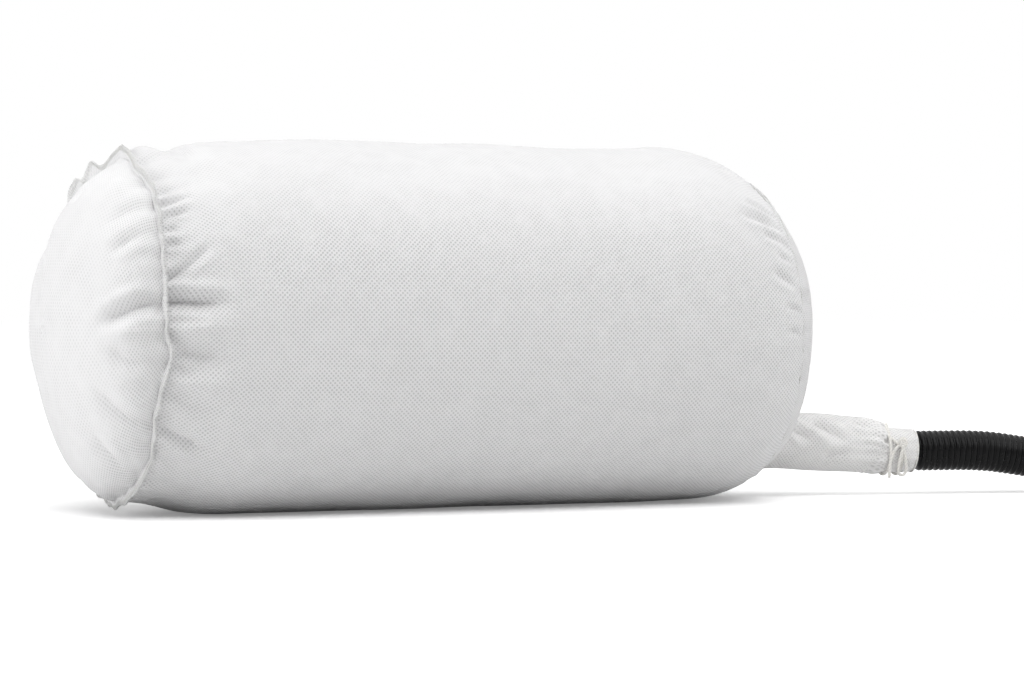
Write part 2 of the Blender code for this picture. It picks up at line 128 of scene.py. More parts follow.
# Folds of the side cloth: from (x, degrees from the top towards the front) to the same, width, depth.
# A negative depth is a ridge.
SIDE_FOLDS = [
    (-0.306, 81.5, -0.254, 82.5, 0.0060, 0.0125), (-0.306, 90.5, -0.248, 89.0, 0.0065, -0.0052),
    (-0.304, 75.0, -0.266, 64.0, 0.0038, 0.0064), (-0.302, 70.0, -0.284, 66.0, 0.0034, 0.0026),
    (-0.302, 97.8, -0.250, 100.0, 0.0080, 0.0058), (-0.303, 107.5, -0.246, 106.5, 0.0060, -0.0034),
    (-0.303, 103.0, -0.286, 105.0, 0.0040, 0.0040), (-0.300, 113.0, -0.262, 117.0, 0.0070, 0.0028),
    (-0.303, 124.5, -0.262, 130.5, 0.0062, 0.0070), (-0.255, 12.0, -0.254, 26.0, 0.0070, 0.0030),
    (-0.304, 46.5, -0.276, 45.5, 0.0034, 0.0046), (-0.304, 57.5, -0.288, 57.5, 0.0032, 0.0036),
    (-0.304, 52.0, -0.278, 51.0, 0.0030, 0.0034), (-0.304, 63.0, -0.290, 62.5, 0.0030, 0.0032),
    (0.255, 51.0, 0.306, 52.5, 0.0048, 0.0040), (0.272, 57.5, 0.306, 58.0, 0.0038, 0.0034),
    (0.266, 45.0, 0.306, 45.5, 0.0036, 0.0030), (0.284, 64.5, 0.306, 65.5, 0.0034, 0.0032),
    (0.274, 71.0, 0.306, 75.0, 0.0045, 0.0042), (0.286, 82.0, 0.306, 83.0, 0.0030, 0.0026),
    (0.288, 90.0, 0.306, 90.5, 0.0034, 0.0028), (0.170, 75.0, 0.209, 93.5, 0.0120, 0.0015),
    (0.262, 24.0, 0.306, 27.0, 0.0050, 0.0036), (0.258, -30.0, 0.306, -33.0, 0.0050, 0.0038),
    (-0.304, -60.0, -0.262, -56.0, 0.0060, 0.0056), (-0.304, -100.0, -0.255, -104.0, 0.0070, 0.0054),
    (0.262, -82.0, 0.306, -80.0, 0.0055, 0.0040), (-0.303, 20.0, -0.270, 14.0, 0.0055, 0.0044),
    (-0.304, -128.0, -0.270, -124.0, 0.0060, 0.0050), (0.266, -118.0, 0.306, -114.0, 0.0050, 0.0038),
]
# Slow rises of the side cloth: height, place along X and its spread, degrees from the top towards the
# front and their spread. A negative height is a hollow.
SIDE_SWELLS = [
    (-0.0030, -0.225, 0.045, 0, 42), (-0.0062, -0.262, 0.015, 0, 30), (0.0042, -0.290, 0.013, 0, 22),
    (-0.0034, 0.120, 0.048, 0, 40), (0.0020, 0.225, 0.024, 0, 36), (0.0060, -0.305, 0.022, 162, 26),
]
# The same for the closed end's dome, half-way up it: height, degrees and their spread
DOME_SWELLS = [
    (0.0045, 135, 40), (0.0020, 80, 50), (-0.0034, -130, 20), (-0.0078, -37, 17), (0.0034, -100, 18),
]
# Folds of the closed end cloth: from (radius, degrees) to the same, width, depth
CAP_FOLDS = [
    (0.150, 81.5, 0.108, 90.0, 0.0056, 0.0092), (0.150, 91.0, 0.112, 95.0, 0.0060, -0.0040),
    (0.118, 118.0, 0.150, 124.0, 0.0080, 0.0048), (0.128, 60.0, 0.150, 57.5, 0.0055, 0.0042),
    (0.126, 46.0, 0.150, 44.5, 0.0130, 0.0046), (0.116, 8.0, 0.150, 12.0, 0.0075, 0.0046),
    (0.124, 100.0, 0.150, 103.0, 0.0060, 0.0034), (0.122, 140.0, 0.150, 146.0, 0.0070, 0.0044),
    (0.118, -40.0, 0.150, -36.0, 0.0080, 0.0060), (0.122, -84.0, 0.150, -90.0, 0.0075, 0.0052),
    (0.120, -128.0, 0.150, -132.0, 0.0070, 0.0046),
]
# The closed end seam's small turns: degrees from the top towards the front, and its shift along X
SEAM_TURNS = [
    (-180, -7.0), (-150, -4.0), (-120, -2.0), (-90, 1.5), (-60, 0.0), (-20, 1.0), (3, 3.0), (13, 1.5),
    (27, -3.0), (37, 3.6), (46, 2.8), (57, 1.2), (68, -0.4), (81, -1.6), (88, -0.8), (92.5, -2.6),
    (98, 3.9), (101.5, 3.9), (106, -1.2), (112, -3.2), (118.5, -5.2), (128, -3.4), (136, -0.6),
    (142, -1.4), (151, -4.4), (160, -6.6), (170, -8.0), (180, -7.0),
]
# Its loose edge at the crumpled upper back: degrees, how far it stands out, and how far it leans
FRILL_KINKS = [
    (-180, 8, 0), (-118, 8, -1), (-96, 9, 1), (-84, 8, -2), (-74, 9, 0), (-66, 8, -2), (-61, 9, -4),
    (-56, 15, -6), (-49, 27, -8), (-46, 25, -8.8), (-43, 25.5, -9.1), (-40.5, 28.5, -7.5),
    (-38, 24, -7.5), (-35.5, 14.2, -7.9), (-33.5, 7.7, -8.3), (-31, 13.7, -7.4), (-28, 17.1, -5.2),
    (-25, 16.8, -3.4), (-22, 13.4, -2.4), (-19, 7.9, -3.2), (-16, 7.9, -2.6), (-12, 10.6, -2),
    (-8, 9.4, -1.2), (-4, 10.2, -1.4), (0, 11.8, -0.6), (3, 12.7, -0.2), (6, 11, -0.3), (10, 9, 0),
    (15, 7, 0), (22, 8, 0), (180, 8, 0),
]


# ---------------------------------------------------------------- settings

class BagSettings(bpy.types.PropertyGroup):
    """What a user may change on the bag's cloth."""
    cloth_colour: FloatVectorProperty(
        name="Cloth colour", description="Colour of the nonwoven cloth", subtype="COLOR",
        default=(0.80, 0.797, 0.802), min=0, max=1)
    dot_pitch: FloatProperty(
        name="Dot pitch", description="Distance between the cloth's bonding dots", unit="LENGTH",
        default=0.0030, min=0.001, max=0.01)
    pucker_count: IntProperty(
        name="Puckers", description="Puckers round each end seam", default=58, min=8, max=120)
    pucker_depth: FloatProperty(
        name="Pucker depth", description="Usual depth of a pucker", unit="LENGTH",
        default=0.0023, min=0, max=0.01)
    swell: FloatProperty(
        name="Swell", description="Height of the slow waves in the cloth", unit="LENGTH",
        default=0.0009, min=0, max=0.01)
    frill_lean: FloatProperty(
        name="Frill lean", description="How far the seam's loose edge leans where it is crumpled",
        unit="LENGTH", default=0.001, min=0, max=0.003)
    overlock_pitch: FloatProperty(
        name="Overlock pitch", description="Distance between loops of the edge stitching",
        unit="LENGTH", default=0.0026, min=0.0015, max=0.01)
    solid_cloth: BoolProperty(
        name="Solid cloth", description="Give each panel the wall of its cloth", default=True)


class TieSettings(bpy.types.PropertyGroup):
    """What a user may change on the tie cord."""
    cord_colour: FloatVectorProperty(
        name="Cord colour", description="Colour of the tie cord", subtype="COLOR",
        default=(0.93, 0.915, 0.875), min=0, max=1)
    cord_radius: FloatProperty(
        name="Cord radius", description="Radius of the tie cord", unit="LENGTH",
        default=0.0015, min=0.0005, max=0.004)
    twist: FloatProperty(
        name="Twist", description="Length in which a strand goes once round the cord", unit="LENGTH",
        default=0.0105, min=0.002, max=0.05)


class HoseSettings(bpy.types.PropertyGroup):
    """What a user may change on the hose and its end."""
    hose_colour: FloatVectorProperty(
        name="Hose colour", description="Colour of the hose", subtype="COLOR",
        default=(0.003, 0.003, 0.0033), min=0, max=1)
    rib_pitch: FloatProperty(
        name="Rib pitch", description="Distance from rib to rib", unit="LENGTH",
        default=0.0059, min=0.003, max=0.02)
    rib_depth: FloatProperty(
        name="Rib depth", description="Depth of the grooves between the ribs", unit="LENGTH",
        default=0.0021, min=0, max=0.005)
    grip_ribs: IntProperty(
        name="Grip ribs", description="Ribs round the cuff's grip", default=36, min=6, max=60)


class StageSettings(bpy.types.PropertyGroup):
    """Camera and light."""
    lens: FloatProperty(
        name="Lens", description="Focal length", subtype="DISTANCE_CAMERA", default=105.47, min=20, max=300)
    top_power: FloatProperty(
        name="Top light", description="Power of the softbox overhead", unit="POWER", default=44, min=0)
    side_power: FloatProperty(
        name="Left light", description="Power of the softbox at the closed end", unit="POWER",
        default=31, min=0)
    right_power: FloatProperty(
        name="Right light", description="Power of the softbox at the hose's side", unit="POWER",
        default=14, min=0)
    front_power: FloatProperty(
        name="Front light", description="Power of the softbox above the bag's front", unit="POWER",
        default=40, min=0)
    fill: FloatProperty(
        name="Fill", description="Strength of the even light from all round", default=0.02, min=0, max=2)


SETTINGS = (BagSettings, TieSettings, HoseSettings, StageSettings)


# ---------------------------------------------------------------- shape of the bag

def ease(t):
    t = np.clip(t, 0, 1)
    return t * t * (3 - 2 * t)


def bump(t):
    return np.exp(-t * t)


def turned_by(a, b):
    """The angle from b to a, from minus pi to pi."""
    return (np.asarray(a) - b + PI) % (2 * PI) - PI


def side_radius(x):
    taper = np.clip((x - CLOSED_X) / CLOSED_TAPER, 0, 1)
    straight = BAG_RADIUS - CLOSED_TUCK * (1 - np.sin(taper * PI / 2))
    t = np.clip((x - ROUND_X) / INLET_ROUNDING, 0, 1)
    return np.where(x > ROUND_X, BAG_RADIUS * (1 - t ** INLET_SQUARE) ** (1 / INLET_SQUARE), straight)


def axis_height(x):
    closed = CLOSED_RISE * (1 - ease((x - CLOSED_X) / CLOSED_TAPER))
    inlet = INLET_DROP * np.clip((x - ROUND_X) / INLET_ROUNDING, 0, 1)
    return AXIS_Z + closed - inlet


CLOSED_RIM = float(side_radius(CLOSED_X))
INLET_RIM = float(side_radius(INLET_X))
NECK_ROOT = ROUND_X + INLET_ROUNDING * (1 - (
    (AXIS_Z - INLET_DROP - NECK_HEIGHT + NECK_RADIUS) / BAG_RADIUS) ** INLET_SQUARE) ** (
    1 / INLET_SQUARE) - NECK_TAIL


def on_floor(z, inset=0.0):
    """Heights that settle softly on the floor."""
    above = z - inset
    return inset + 0.5 * (above + np.sqrt(above * above + 0.0022 ** 2))


def ring_points(x, radius, angle, height, inset=0.0):
    """Points round an axis at that height, settled on the floor."""
    z = on_floor(height - radius * np.cos(angle), inset)
    return np.stack([x + 0 * radius, radius * np.sin(angle), z], axis=-1)


def waves(seed, angle, along, count, rounds, lengths):
    """Irregular waves of height about one that close round the bag."""
    rng = np.random.default_rng(seed)
    total = 0
    for _ in range(count):
        turns = int(rng.integers(rounds[0], rounds[1] + 1))
        slope = 2 * PI / rng.uniform(*lengths) * rng.choice((-1, 1))
        total = total + np.sin(turns * angle + slope * along + rng.uniform(0, 2 * PI))
    return total / np.sqrt(count)


def puckers(seed, count, depth, length):
    """Gathered folds round a seam: angle, width, depth, length and lean of each."""
    rng = np.random.default_rng(seed)
    found = []
    for i in range(count):
        size = rng.uniform(0.25, 1.0) ** 1.3
        found.append((2 * PI * (i + rng.uniform(-0.42, 0.42)) / count, 0.0022 + 0.0030 * size,
                      depth * (0.35 + 1.25 * size), length * (0.3 + 1.2 * size), rng.uniform(-1.6, 1.6)))
    return found


def pucker_height(folds, angle, away, radius):
    """Height of the cloth over its smooth shape, at a distance from the seam."""
    total = np.zeros(np.broadcast(angle, away).shape)
    for at, width, depth, length, lean in folds:
        wide = width * (1 + 1.1 * away / length)
        off = np.abs(turned_by(angle, at + lean * away)) * radius / wide
        fade = np.exp(-(away / length) ** 1.5)
        total = total + depth * fade * (0.42 * bump(off - 2.0) - np.exp(-off ** 1.35))
    return total * (1 - np.exp(-away / 0.0035))


def fold_height(folds, x, y):
    """Height from folds that run from point to point on a flat pattern."""
    total = np.zeros(np.broadcast(x, y).shape)
    for x0, y0, x1, y1, width, depth in folds:
        reach = np.hypot(x1 - x0, y1 - y0)
        dx, dy = (x1 - x0) / reach, (y1 - y0) / reach
        along = (x - x0) * dx + (y - y0) * dy
        across = np.abs((y - y0) * dx - (x - x0) * dy) / width
        ends = ease((along + width) / (2 * width)) * ease((reach * 1.15 - along) / (reach * 0.7))
        shape = 0.35 * bump(across - 2.2) - np.exp(-across ** 1.3)
        total = total + depth * ends * shape
    return total


def along_table(rows, column, angle, soft):
    """A number of a table by degrees from the top towards the front, its corners a little rounded."""
    front = np.degrees(turned_by(angle, PI))
    degrees, numbers = [row[0] for row in rows], [row[column] for row in rows]
    near = [(front + off + 180) % 360 - 180 for off in (-soft, 0, soft)]
    return sum(np.interp(at, degrees, numbers) for at in near) / 3


def closed_seam_x(angle):
    """The closed end seam isn't quite in one plane."""
    return 0.001 * along_table(SEAM_TURNS, 1, angle, 1.5) + 0.0003 * waves(3, angle, 0, 5, (9, 31), (1, 2))


def closed_seam_out(angle):
    front = np.degrees(turned_by(angle, PI))
    return (0.0009 * waves(4, angle, 0, 6, (12, 40), (1, 2)) - 0.0004
            + 0.0055 * bump((front - 162) / 26) - 0.0080 * bump((front + 12) / 10))


def inlet_seam_out(angle):
    return 0.0006 * waves(5, angle, 0, 6, (14, 44), (1, 2)) - 0.0014


def side_height(x, angle, settings):
    """How far the side cloth stands over its smooth shape."""
    front = np.degrees(turned_by(angle, PI))
    low = np.degrees(np.abs(turned_by(angle, 0)))
    closed_away, inlet_away = x - CLOSED_X, INLET_X - x
    closed = puckers(11, settings.pucker_count, settings.pucker_depth, 0.030)
    inlet = puckers(12, settings.pucker_count + 6, settings.pucker_depth * 0.85, 0.021)
    total = pucker_height(closed, angle, closed_away, CLOSED_RIM)
    total += pucker_height(inlet, angle, inlet_away, INLET_RIM)
    total += closed_seam_out(angle) * np.exp(-closed_away / 0.010)
    total += inlet_seam_out(angle) * np.exp(-inlet_away / 0.005)
    folds = [(x0, BAG_RADIUS * np.radians(a0), x1, BAG_RADIUS * np.radians(a1), w, d)
             for x0, a0, x1, a1, w, d in SIDE_FOLDS]
    total += fold_height(folds, x, BAG_RADIUS * turned_by(angle, PI))
    calm = ease(closed_away / 0.05) * ease(inlet_away / 0.05)
    total += settings.swell * calm * waves(21, angle, x, 7, (2, 6), (0.16, 0.5))
    total += 0.35 * settings.swell * calm * waves(22, angle, x, 9, (6, 15), (0.07, 0.16))
    for height, at, spread, turn, turns_spread in SIDE_SWELLS:
        total += height * bump((x - at) / spread) * bump((front - turn) / turns_spread)
    total += -0.0042 * ease((x - 0.245) / 0.05) * bump((front - 22) / 44)
    total += -0.0064 * ease((x - 0.16) / 0.11) * bump(low / 25)
    total += -0.0030 * ease((-0.215 - x) / 0.06) * bump(low / 40)
    return total


def side_point(x, angle, settings, over=0.0):
    """Points on the side cloth, or a little way over it."""
    radius = side_radius(x) + side_height(x, angle, settings) + over
    shift = closed_seam_x(angle) * np.exp(-(x - CLOSED_X) / 0.045)
    return ring_points(x + shift, radius, angle, axis_height(x))


def frill_point(angle, out, side, settings):
    """A point of the closed seam's loose edge: out from the seam and off its middle."""
    share = np.clip(out / SEAM_ALLOWANCE, 0, 1.1)
    more = (along_table(FRILL_KINKS, 1, angle, 1.2) * 0.001 - SEAM_ALLOWANCE) * ease(share / 0.62)
    lean = 0.0005 * waves(32, angle, 0, 5, (14, 36), (1, 2)) + 0.0006
    lean = lean + along_table(FRILL_KINKS, 2, angle, 1.2) * settings.frill_lean
    x = CLOSED_X + closed_seam_x(angle) + side + lean * share ** 1.3
    radius = CLOSED_RIM + closed_seam_out(angle) + out + more
    return ring_points(x, radius, angle, axis_height(CLOSED_X), EDGE_LIFT)


# ---------------------------------------------------------------- mesh building

def deselect_all():
    if bpy.context.mode != "OBJECT":
        bpy.ops.object.mode_set(mode="OBJECT")
    bpy.ops.object.select_all(action="DESELECT")


def make_active(obj):
    deselect_all()
    obj.select_set(True)
    bpy.context.view_layer.objects.active = obj


def new_mesh(name, points, faces, corners=None):
    """A smooth mesh object with a UV map in metres."""
    mesh = bpy.data.meshes.new(name)
    mesh.from_pydata(np.asarray(points).tolist(), [], faces)
    if corners is not None:
        layer = mesh.uv_layers.new(name="cloth")
        layer.data.foreach_set("uv", np.asarray(corners, np.float32).ravel())
    mesh.validate()
    mesh.shade_smooth()
    obj = bpy.data.objects.new(name, mesh)
    bpy.context.scene.collection.objects.link(obj)
    return obj


def ring_sheet(name, rows, patterns, flip=False, pole=None):
    """A sheet through closed rows of points. A row holds as many points as the one before it, half as
    many or twice as many. A pattern row has one place more, where the row comes round to its start."""
    starts, points = [], []
    for row in rows:
        starts.append(len(points))
        points.extend(row.tolist())
    faces, corners = [], []

    def add(*places):
        order = places[::-1] if flip else places
        faces.append([starts[r] + i % len(rows[r]) for r, i in order])
        corners.extend(patterns[r][i] for r, i in order)

    for r in range(len(rows) - 1):
        here, there = len(rows[r]), len(rows[r + 1])
        if here == there:
            for i in range(here):
                add((r, i), (r, i + 1), (r + 1, i + 1), (r + 1, i))
        elif here > there:
            for i in range(there):
                add((r, 2 * i), (r, 2 * i + 1), (r + 1, i))
                add((r, 2 * i + 1), (r + 1, i + 1), (r + 1, i))
                add((r, 2 * i + 1), (r, 2 * i + 2), (r + 1, i + 1))
        else:
            for i in range(here):
                add((r, i), (r + 1, 2 * i + 1), (r + 1, 2 * i))
                add((r, i), (r, i + 1), (r + 1, 2 * i + 1))
                add((r, i + 1), (r + 1, 2 * i + 2), (r + 1, 2 * i + 1))
    if pole is not None:
        points.append(list(pole[0]))
        last = len(rows) - 1
        for i in range(len(rows[last])):
            ring = [starts[last] + i, starts[last] + (i + 1) % len(rows[last]), len(points) - 1]
            places = [patterns[last][i], patterns[last][i + 1], pole[1]]
            faces.append(ring[::-1] if flip else ring)
            corners.extend(places[::-1] if flip else places)
    return new_mesh(name, points, faces, corners)


@contextmanager
def opened(obj):
    """An object's mesh, open for changes. Its faces are turned outwards when they are done."""
    mesh = bmesh.new()
    mesh.from_mesh(obj.data)
    mesh.verts.ensure_lookup_table()
    yield mesh
    bmesh.ops.recalc_face_normals(mesh, faces=mesh.faces)
    mesh.to_mesh(obj.data)
    mesh.free()


def thicken(obj, wall, offset=-1.0):
    """Gives a sheet its wall, inwards from its faces."""
    make_active(obj)
    wall_of = obj.modifiers.new("wall", "SOLIDIFY")
    wall_of.thickness = wall
    wall_of.offset = offset
    wall_of.use_even_offset = False
    wall_of.use_rim = True
    bpy.ops.object.modifier_apply(modifier=wall_of.name)
    deselect_all()


def circle(count):
    return 2 * PI * np.arange(count) / count


def lines_through(points, steps):
    """Points on a smooth curve that passes through the given ones."""
    points = np.asarray(points, float)
    padded = np.concatenate([[2 * points[0] - points[1]], points, [2 * points[-1] - points[-2]]])
    found = []
    for a, b, c, d in zip(padded, padded[1:], padded[2:], padded[3:]):
        for i in range(steps):
            t = i / steps
            found.append(0.5 * (2 * b + (c - a) * t + (2 * a - 5 * b + 4 * c - d) * t * t
                                + (3 * b - a - 3 * c + d) * t ** 3))
    return np.array([*found, points[-1]])


def evenly(points, step):
    """The same line at even steps, and the distance along it."""
    points = np.asarray(points, float)
    along = np.concatenate([[0], np.cumsum(np.linalg.norm(np.diff(points, axis=0), axis=1))])
    count = max(int(round(along[-1] / step)), 2)
    at = np.linspace(0, along[-1], count + 1)
    return np.stack([np.interp(at, along, points[:, k]) for k in range(3)], axis=1), at


def frames_along(line, first=UP):
    """Two directions across a line at each of its points that don't twist about it."""
    ways = np.gradient(line, axis=0)
    ways /= np.linalg.norm(ways, axis=1)[:, None]
    across = np.zeros_like(line)
    side = np.asarray(first, float)
    for i, way in enumerate(ways):
        side = side - way * side.dot(way)
        side = side / np.linalg.norm(side)
        across[i] = side
    return across, np.cross(ways, across)


def tube(name, line, at, sides, radius_of, bore=None, first=UP):
    """A tube along a line. radius_of(distance, angle) is its radius. A bore is (radius, depth)."""
    across, other = frames_along(line, first)
    angle = circle(sides)
    radius = radius_of(at[:, None], angle[None, :]) + np.zeros((len(line), sides))
    outer = (line[:, None] + across[:, None] * (radius * np.cos(angle))[..., None]
             + other[:, None] * (radius * np.sin(angle))[..., None])
    rows = list(outer)
    round_it = np.arange(sides + 1) / sides
    patterns = [np.stack([round_it, np.full(sides + 1, s)], axis=1) for s in at]
    if bore:
        deep = int(np.searchsorted(at, bore[1]))
        inner = []
        for i in (0, deep):
            inner.append(line[i] + across[i] * bore[0] * np.cos(angle)[:, None]
                         + other[i] * bore[0] * np.sin(angle)[:, None])
        rows = [inner[1], inner[0]] + rows
        patterns = [patterns[deep], patterns[0]] + patterns
        start = line[deep]
    else:
        start = line[0]
    obj = ring_sheet(name, rows, patterns, pole=(line[-1], (0.5, at[-1])))
    close_start(obj, sides, start)
    return obj


def close_start(obj, sides, centre):
    """Closes the first row of a tube with a fan."""
    with opened(obj) as mesh:
        ring = [mesh.verts[i] for i in range(sides)]
        middle = mesh.verts.new(centre)
        for a, b in zip(ring, ring[1:] + ring[:1]):
            mesh.faces.new((b, a, middle)).smooth = True


# ---------------------------------------------------------------- materials

def material_for(name, colour, roughness):
    """A new material, its node tree and its shader."""
    made = bpy.data.materials.new(name)
    made.use_nodes = True
    tree = made.node_tree
    shader = tree.nodes["Principled BSDF"]
    shader.inputs["Base Color"].default_value = (*colour, 1)
    shader.inputs["Roughness"].default_value = roughness
    return made, tree, shader


def add_node(tree, kind, **values):
    node = tree.nodes.new(kind)
    for key, value in values.items():
        if key in node.inputs:
            node.inputs[key].default_value = value
        else:
            setattr(node, key, value)
    return node


def places(tree, source, scale=(1, 1, 1), turn=0.0):
    """Coordinates from the UV map or the object, scaled and turned."""
    coordinates = tree.nodes.new("ShaderNodeTexCoord")
    mapping = tree.nodes.new("ShaderNodeMapping")
    mapping.inputs["Rotation"].default_value = (0, 0, turn)
    mapping.inputs["Scale"].default_value = scale
    tree.links.new(coordinates.outputs[source], mapping.inputs["Vector"])
    return mapping.outputs["Vector"]


def noise(tree, vector, scale, detail=3.0, rough=0.5):
    node = tree.nodes.new("ShaderNodeTexNoise")
    node.inputs["Scale"].default_value = scale
    node.inputs["Detail"].default_value = detail
    node.inputs["Roughness"].default_value = rough
    tree.links.new(vector, node.inputs["Vector"])
    return node.outputs["Fac"]


def axes(tree, vector):
    """The X, Y and Z of a vector."""
    split = tree.nodes.new("ShaderNodeSeparateXYZ")
    tree.links.new(vector, split.inputs["Vector"])
    return split.outputs


def maths(tree, operation, *values):
    node = tree.nodes.new("ShaderNodeMath")
    node.operation = operation
    for socket, value in zip(node.inputs, values):
        if isinstance(value, (int, float)):
            socket.default_value = value
        else:
            tree.links.new(value, socket)
    return node.outputs["Value"]


def weighted(tree, *terms, start=0.0, clamp=False):
    """The sum of some values, each times its share."""
    total = start
    for value, share in terms:
        total = maths(tree, "MULTIPLY_ADD", value, share, total)
    total.node.use_clamp = clamp
    return total


def remap(tree, value, low, high, to_low, to_high, smooth=False):
    node = tree.nodes.new("ShaderNodeMapRange")
    node.interpolation_type = "SMOOTHSTEP" if smooth else "LINEAR"
    tree.links.new(value, node.inputs["Value"])
    for key, number in zip(("From Min", "From Max", "To Min", "To Max"), (low, high, to_low, to_high)):
        node.inputs[key].default_value = number
    return node.outputs["Result"]


def blend_colours(tree, factor, a, b, shader):
    """Gives the shader a base colour between two, by a factor."""
    node = tree.nodes.new("ShaderNodeMix")
    node.data_type = "RGBA"
    tree.links.new(factor, node.inputs["Factor"])
    node.inputs["A"].default_value = (*a, 1)
    node.inputs["B"].default_value = (*b, 1)
    tree.links.new(node.outputs["Result"], shader.inputs["Base Color"])


def relief(tree, height, shader, distance, strength):
    """Fine relief in the shader, that high in metres at full strength."""
    node = tree.nodes.new("ShaderNodeBump")
    node.inputs["Distance"].default_value = distance
    node.inputs["Strength"].default_value = strength
    tree.links.new(height, node.inputs["Height"])
    tree.links.new(node.outputs["Normal"], shader.inputs["Normal"])


def scaled(colour, share):
    return tuple(c * share for c in colour)


def painted_light_dot_fade(tree):
    """How clearly the bonding dots show: less on the bag's top and on the middle of its closed end, where the
    light falls full. Painted light: the dots' darkening fades where the cloth is brightly lit.
    """
    at = axes(tree, places(tree, "Object"))
    high = remap(tree, at["Z"], 0.215, 0.305, 1.0, 0.30, smooth=True)
    left = remap(tree, at["X"], -0.352, -0.322, 0.30, 1.0, smooth=True)
    return maths(tree, "MULTIPLY", high, left)


def nonwoven(name, settings, warmth=0.0, dotted=1.0, light=1.0):
    """Spunbond cloth: staggered bonding dots pressed into a fine fibre felt."""
    # light above one paints the cloth brighter than its own colour: painted light.
    colour = scaled(settings.cloth_colour, light)
    base = (colour[0], colour[1] * (1 - 0.010 * warmth), colour[2] * (1 - 0.045 * warmth))
    made, tree, shader = material_for(name, base, 0.88)
    shader.inputs["Specular IOR Level"].default_value = 0.28
    shader.inputs["Sheen Weight"].default_value = 0.06
    shader.inputs["Sheen Roughness"].default_value = 0.5
    dots_at = places(tree, "UV", (1 / settings.dot_pitch,) * 3, PI / 4)
    dots = add_node(tree, "ShaderNodeTexVoronoi", voronoi_dimensions="2D", Scale=1.0, Randomness=0.06)
    tree.links.new(dots_at, dots.inputs["Vector"])
    dot = remap(tree, dots.outputs["Distance"], 0.17, 0.37, 1.0, 0.0, smooth=True)
    # The dots fade on the brightly lit top and closed end: painted light.
    dot = maths(tree, "MULTIPLY", dot, painted_light_dot_fade(tree))
    fibres_at = places(tree, "UV")
    fibre = noise(tree, fibres_at, 1400, 4, 0.65)
    cloud = noise(tree, fibres_at, 46, 4, 0.55)
    wide = noise(tree, fibres_at, 7, 2, 0.5)
    patchy = remap(tree, cloud, 0.38, 0.62, 0.62, 1.30)
    patchy = maths(tree, "MULTIPLY", dot, patchy)
    # shade darkens the colour at the bonding dots: painted shade in their pressed pits, faded where the cloth
    # is brightly lit. cloud and wide add random tone.
    shade = weighted(tree, (patchy, 1.25 * dotted), (cloud, 0.16), (wide, 0.12), clamp=True)
    blend_colours(tree, shade, scaled(base, 1.04), scaled(base, 0.74), shader)
    height = weighted(tree, (fibre, 0.16), (dot, -0.75), (cloud, 0.55))
    relief(tree, height, shader, 0.00055, 1.0)
    tree.links.new(remap(tree, dot, 0, 1, 0.90, 0.62), shader.inputs["Roughness"])
    return made


def thread(name, colour):
    """Spun polyester thread: fine diagonal plies along each strand."""
    made, tree, shader = material_for(name, colour, 0.7)
    shader.inputs["Sheen Weight"].default_value = 0.12
    ply_at = places(tree, "UV", (6, 1800, 1), 0.5)
    ply = add_node(tree, "ShaderNodeTexWave", wave_type="BANDS", bands_direction="Y", Scale=0.32,
                   Distortion=1.5)
    tree.links.new(ply_at, ply.inputs["Vector"])
    # The colour follows the plies' relief: darker between the plies, painted shade.
    blend_colours(tree, ply.outputs["Fac"], scaled(colour, 0.86), colour, shader)
    relief(tree, ply.outputs["Fac"], shader, 0.0001, 0.5)
    return made


def stitched_edge(name, colour, pitch):
    """Edge stitching over a plain CAD ring: slanting thread loops side by side."""
    made, tree, shader = material_for(name, colour, 0.75)
    place = places(tree, "Object")
    at = axes(tree, place)
    turn = maths(tree, "ARCTAN2", at["Y"], maths(tree, "SUBTRACT", at["Z"], 0.16))
    loops = maths(tree, "SINE", weighted(tree, (turn, pitch), (at["X"], 260)))
    fibre = noise(tree, place, 2200, 3)
    mixed = weighted(tree, (loops, 0.375), (fibre, 0.35), start=0.375)
    # Darker between the thread loops: painted shade; the fibre noise adds random tone.
    blend_colours(tree, mixed, scaled(colour, 0.72), colour, shader)
    relief(tree, mixed, shader, 0.0005, 0.9)
    return made


def twisted_cord(name, colour, twist):
    """Cotton cord: strands that wind round it, with loose fibres."""
    made, tree, shader = material_for(name, colour, 0.86)
    shader.inputs["Sheen Weight"].default_value = 0.15
    shader.inputs["Specular IOR Level"].default_value = 0.25
    at = axes(tree, places(tree, "UV"))
    phase = maths(tree, "SUBTRACT", at["X"], maths(tree, "DIVIDE", at["Y"], twist))
    strands = maths(tree, "SINE", maths(tree, "MULTIPLY", phase, 6 * PI))
    yarns = maths(tree, "SINE", maths(tree, "MULTIPLY", phase, 30 * PI))
    fibre = noise(tree, places(tree, "Object"), 3000, 4, 0.6)
    height = weighted(tree, (strands, 0.38), (yarns, 0.12), (fibre, 0.35), start=0.33)
    # The colour follows the relief: darker in the grooves between strands, painted shade; the fibres add
    # random tone.
    blend_colours(tree, height, scaled(colour, 0.84), scaled(colour, 1.03), shader)
    relief(tree, height, shader, 0.00035, 0.8)
    return made


def hose_plastic(name, colour):
    """Glossy blown hose plastic, with faint scuffs and patches of dust."""
    made, tree, shader = material_for(name, colour, 0.2)
    shader.inputs["Specular IOR Level"].default_value = 0.12
    at = places(tree, "Object")
    cloud = noise(tree, at, 34, 5, 0.6)
    fine = noise(tree, at, 900, 3, 0.6)
    tree.links.new(remap(tree, cloud, 0.3, 0.7, 0.20, 0.34), shader.inputs["Roughness"])
    dust = maths(tree, "MULTIPLY", remap(tree, cloud, 0.5, 0.8, 0, 1), remap(tree, fine, 0.5, 0.75, 0, 1))
    blend_colours(tree, dust, colour, (0.010, 0.010, 0.0105), shader)
    relief(tree, fine, shader, 0.00012, 0.25)
    return made


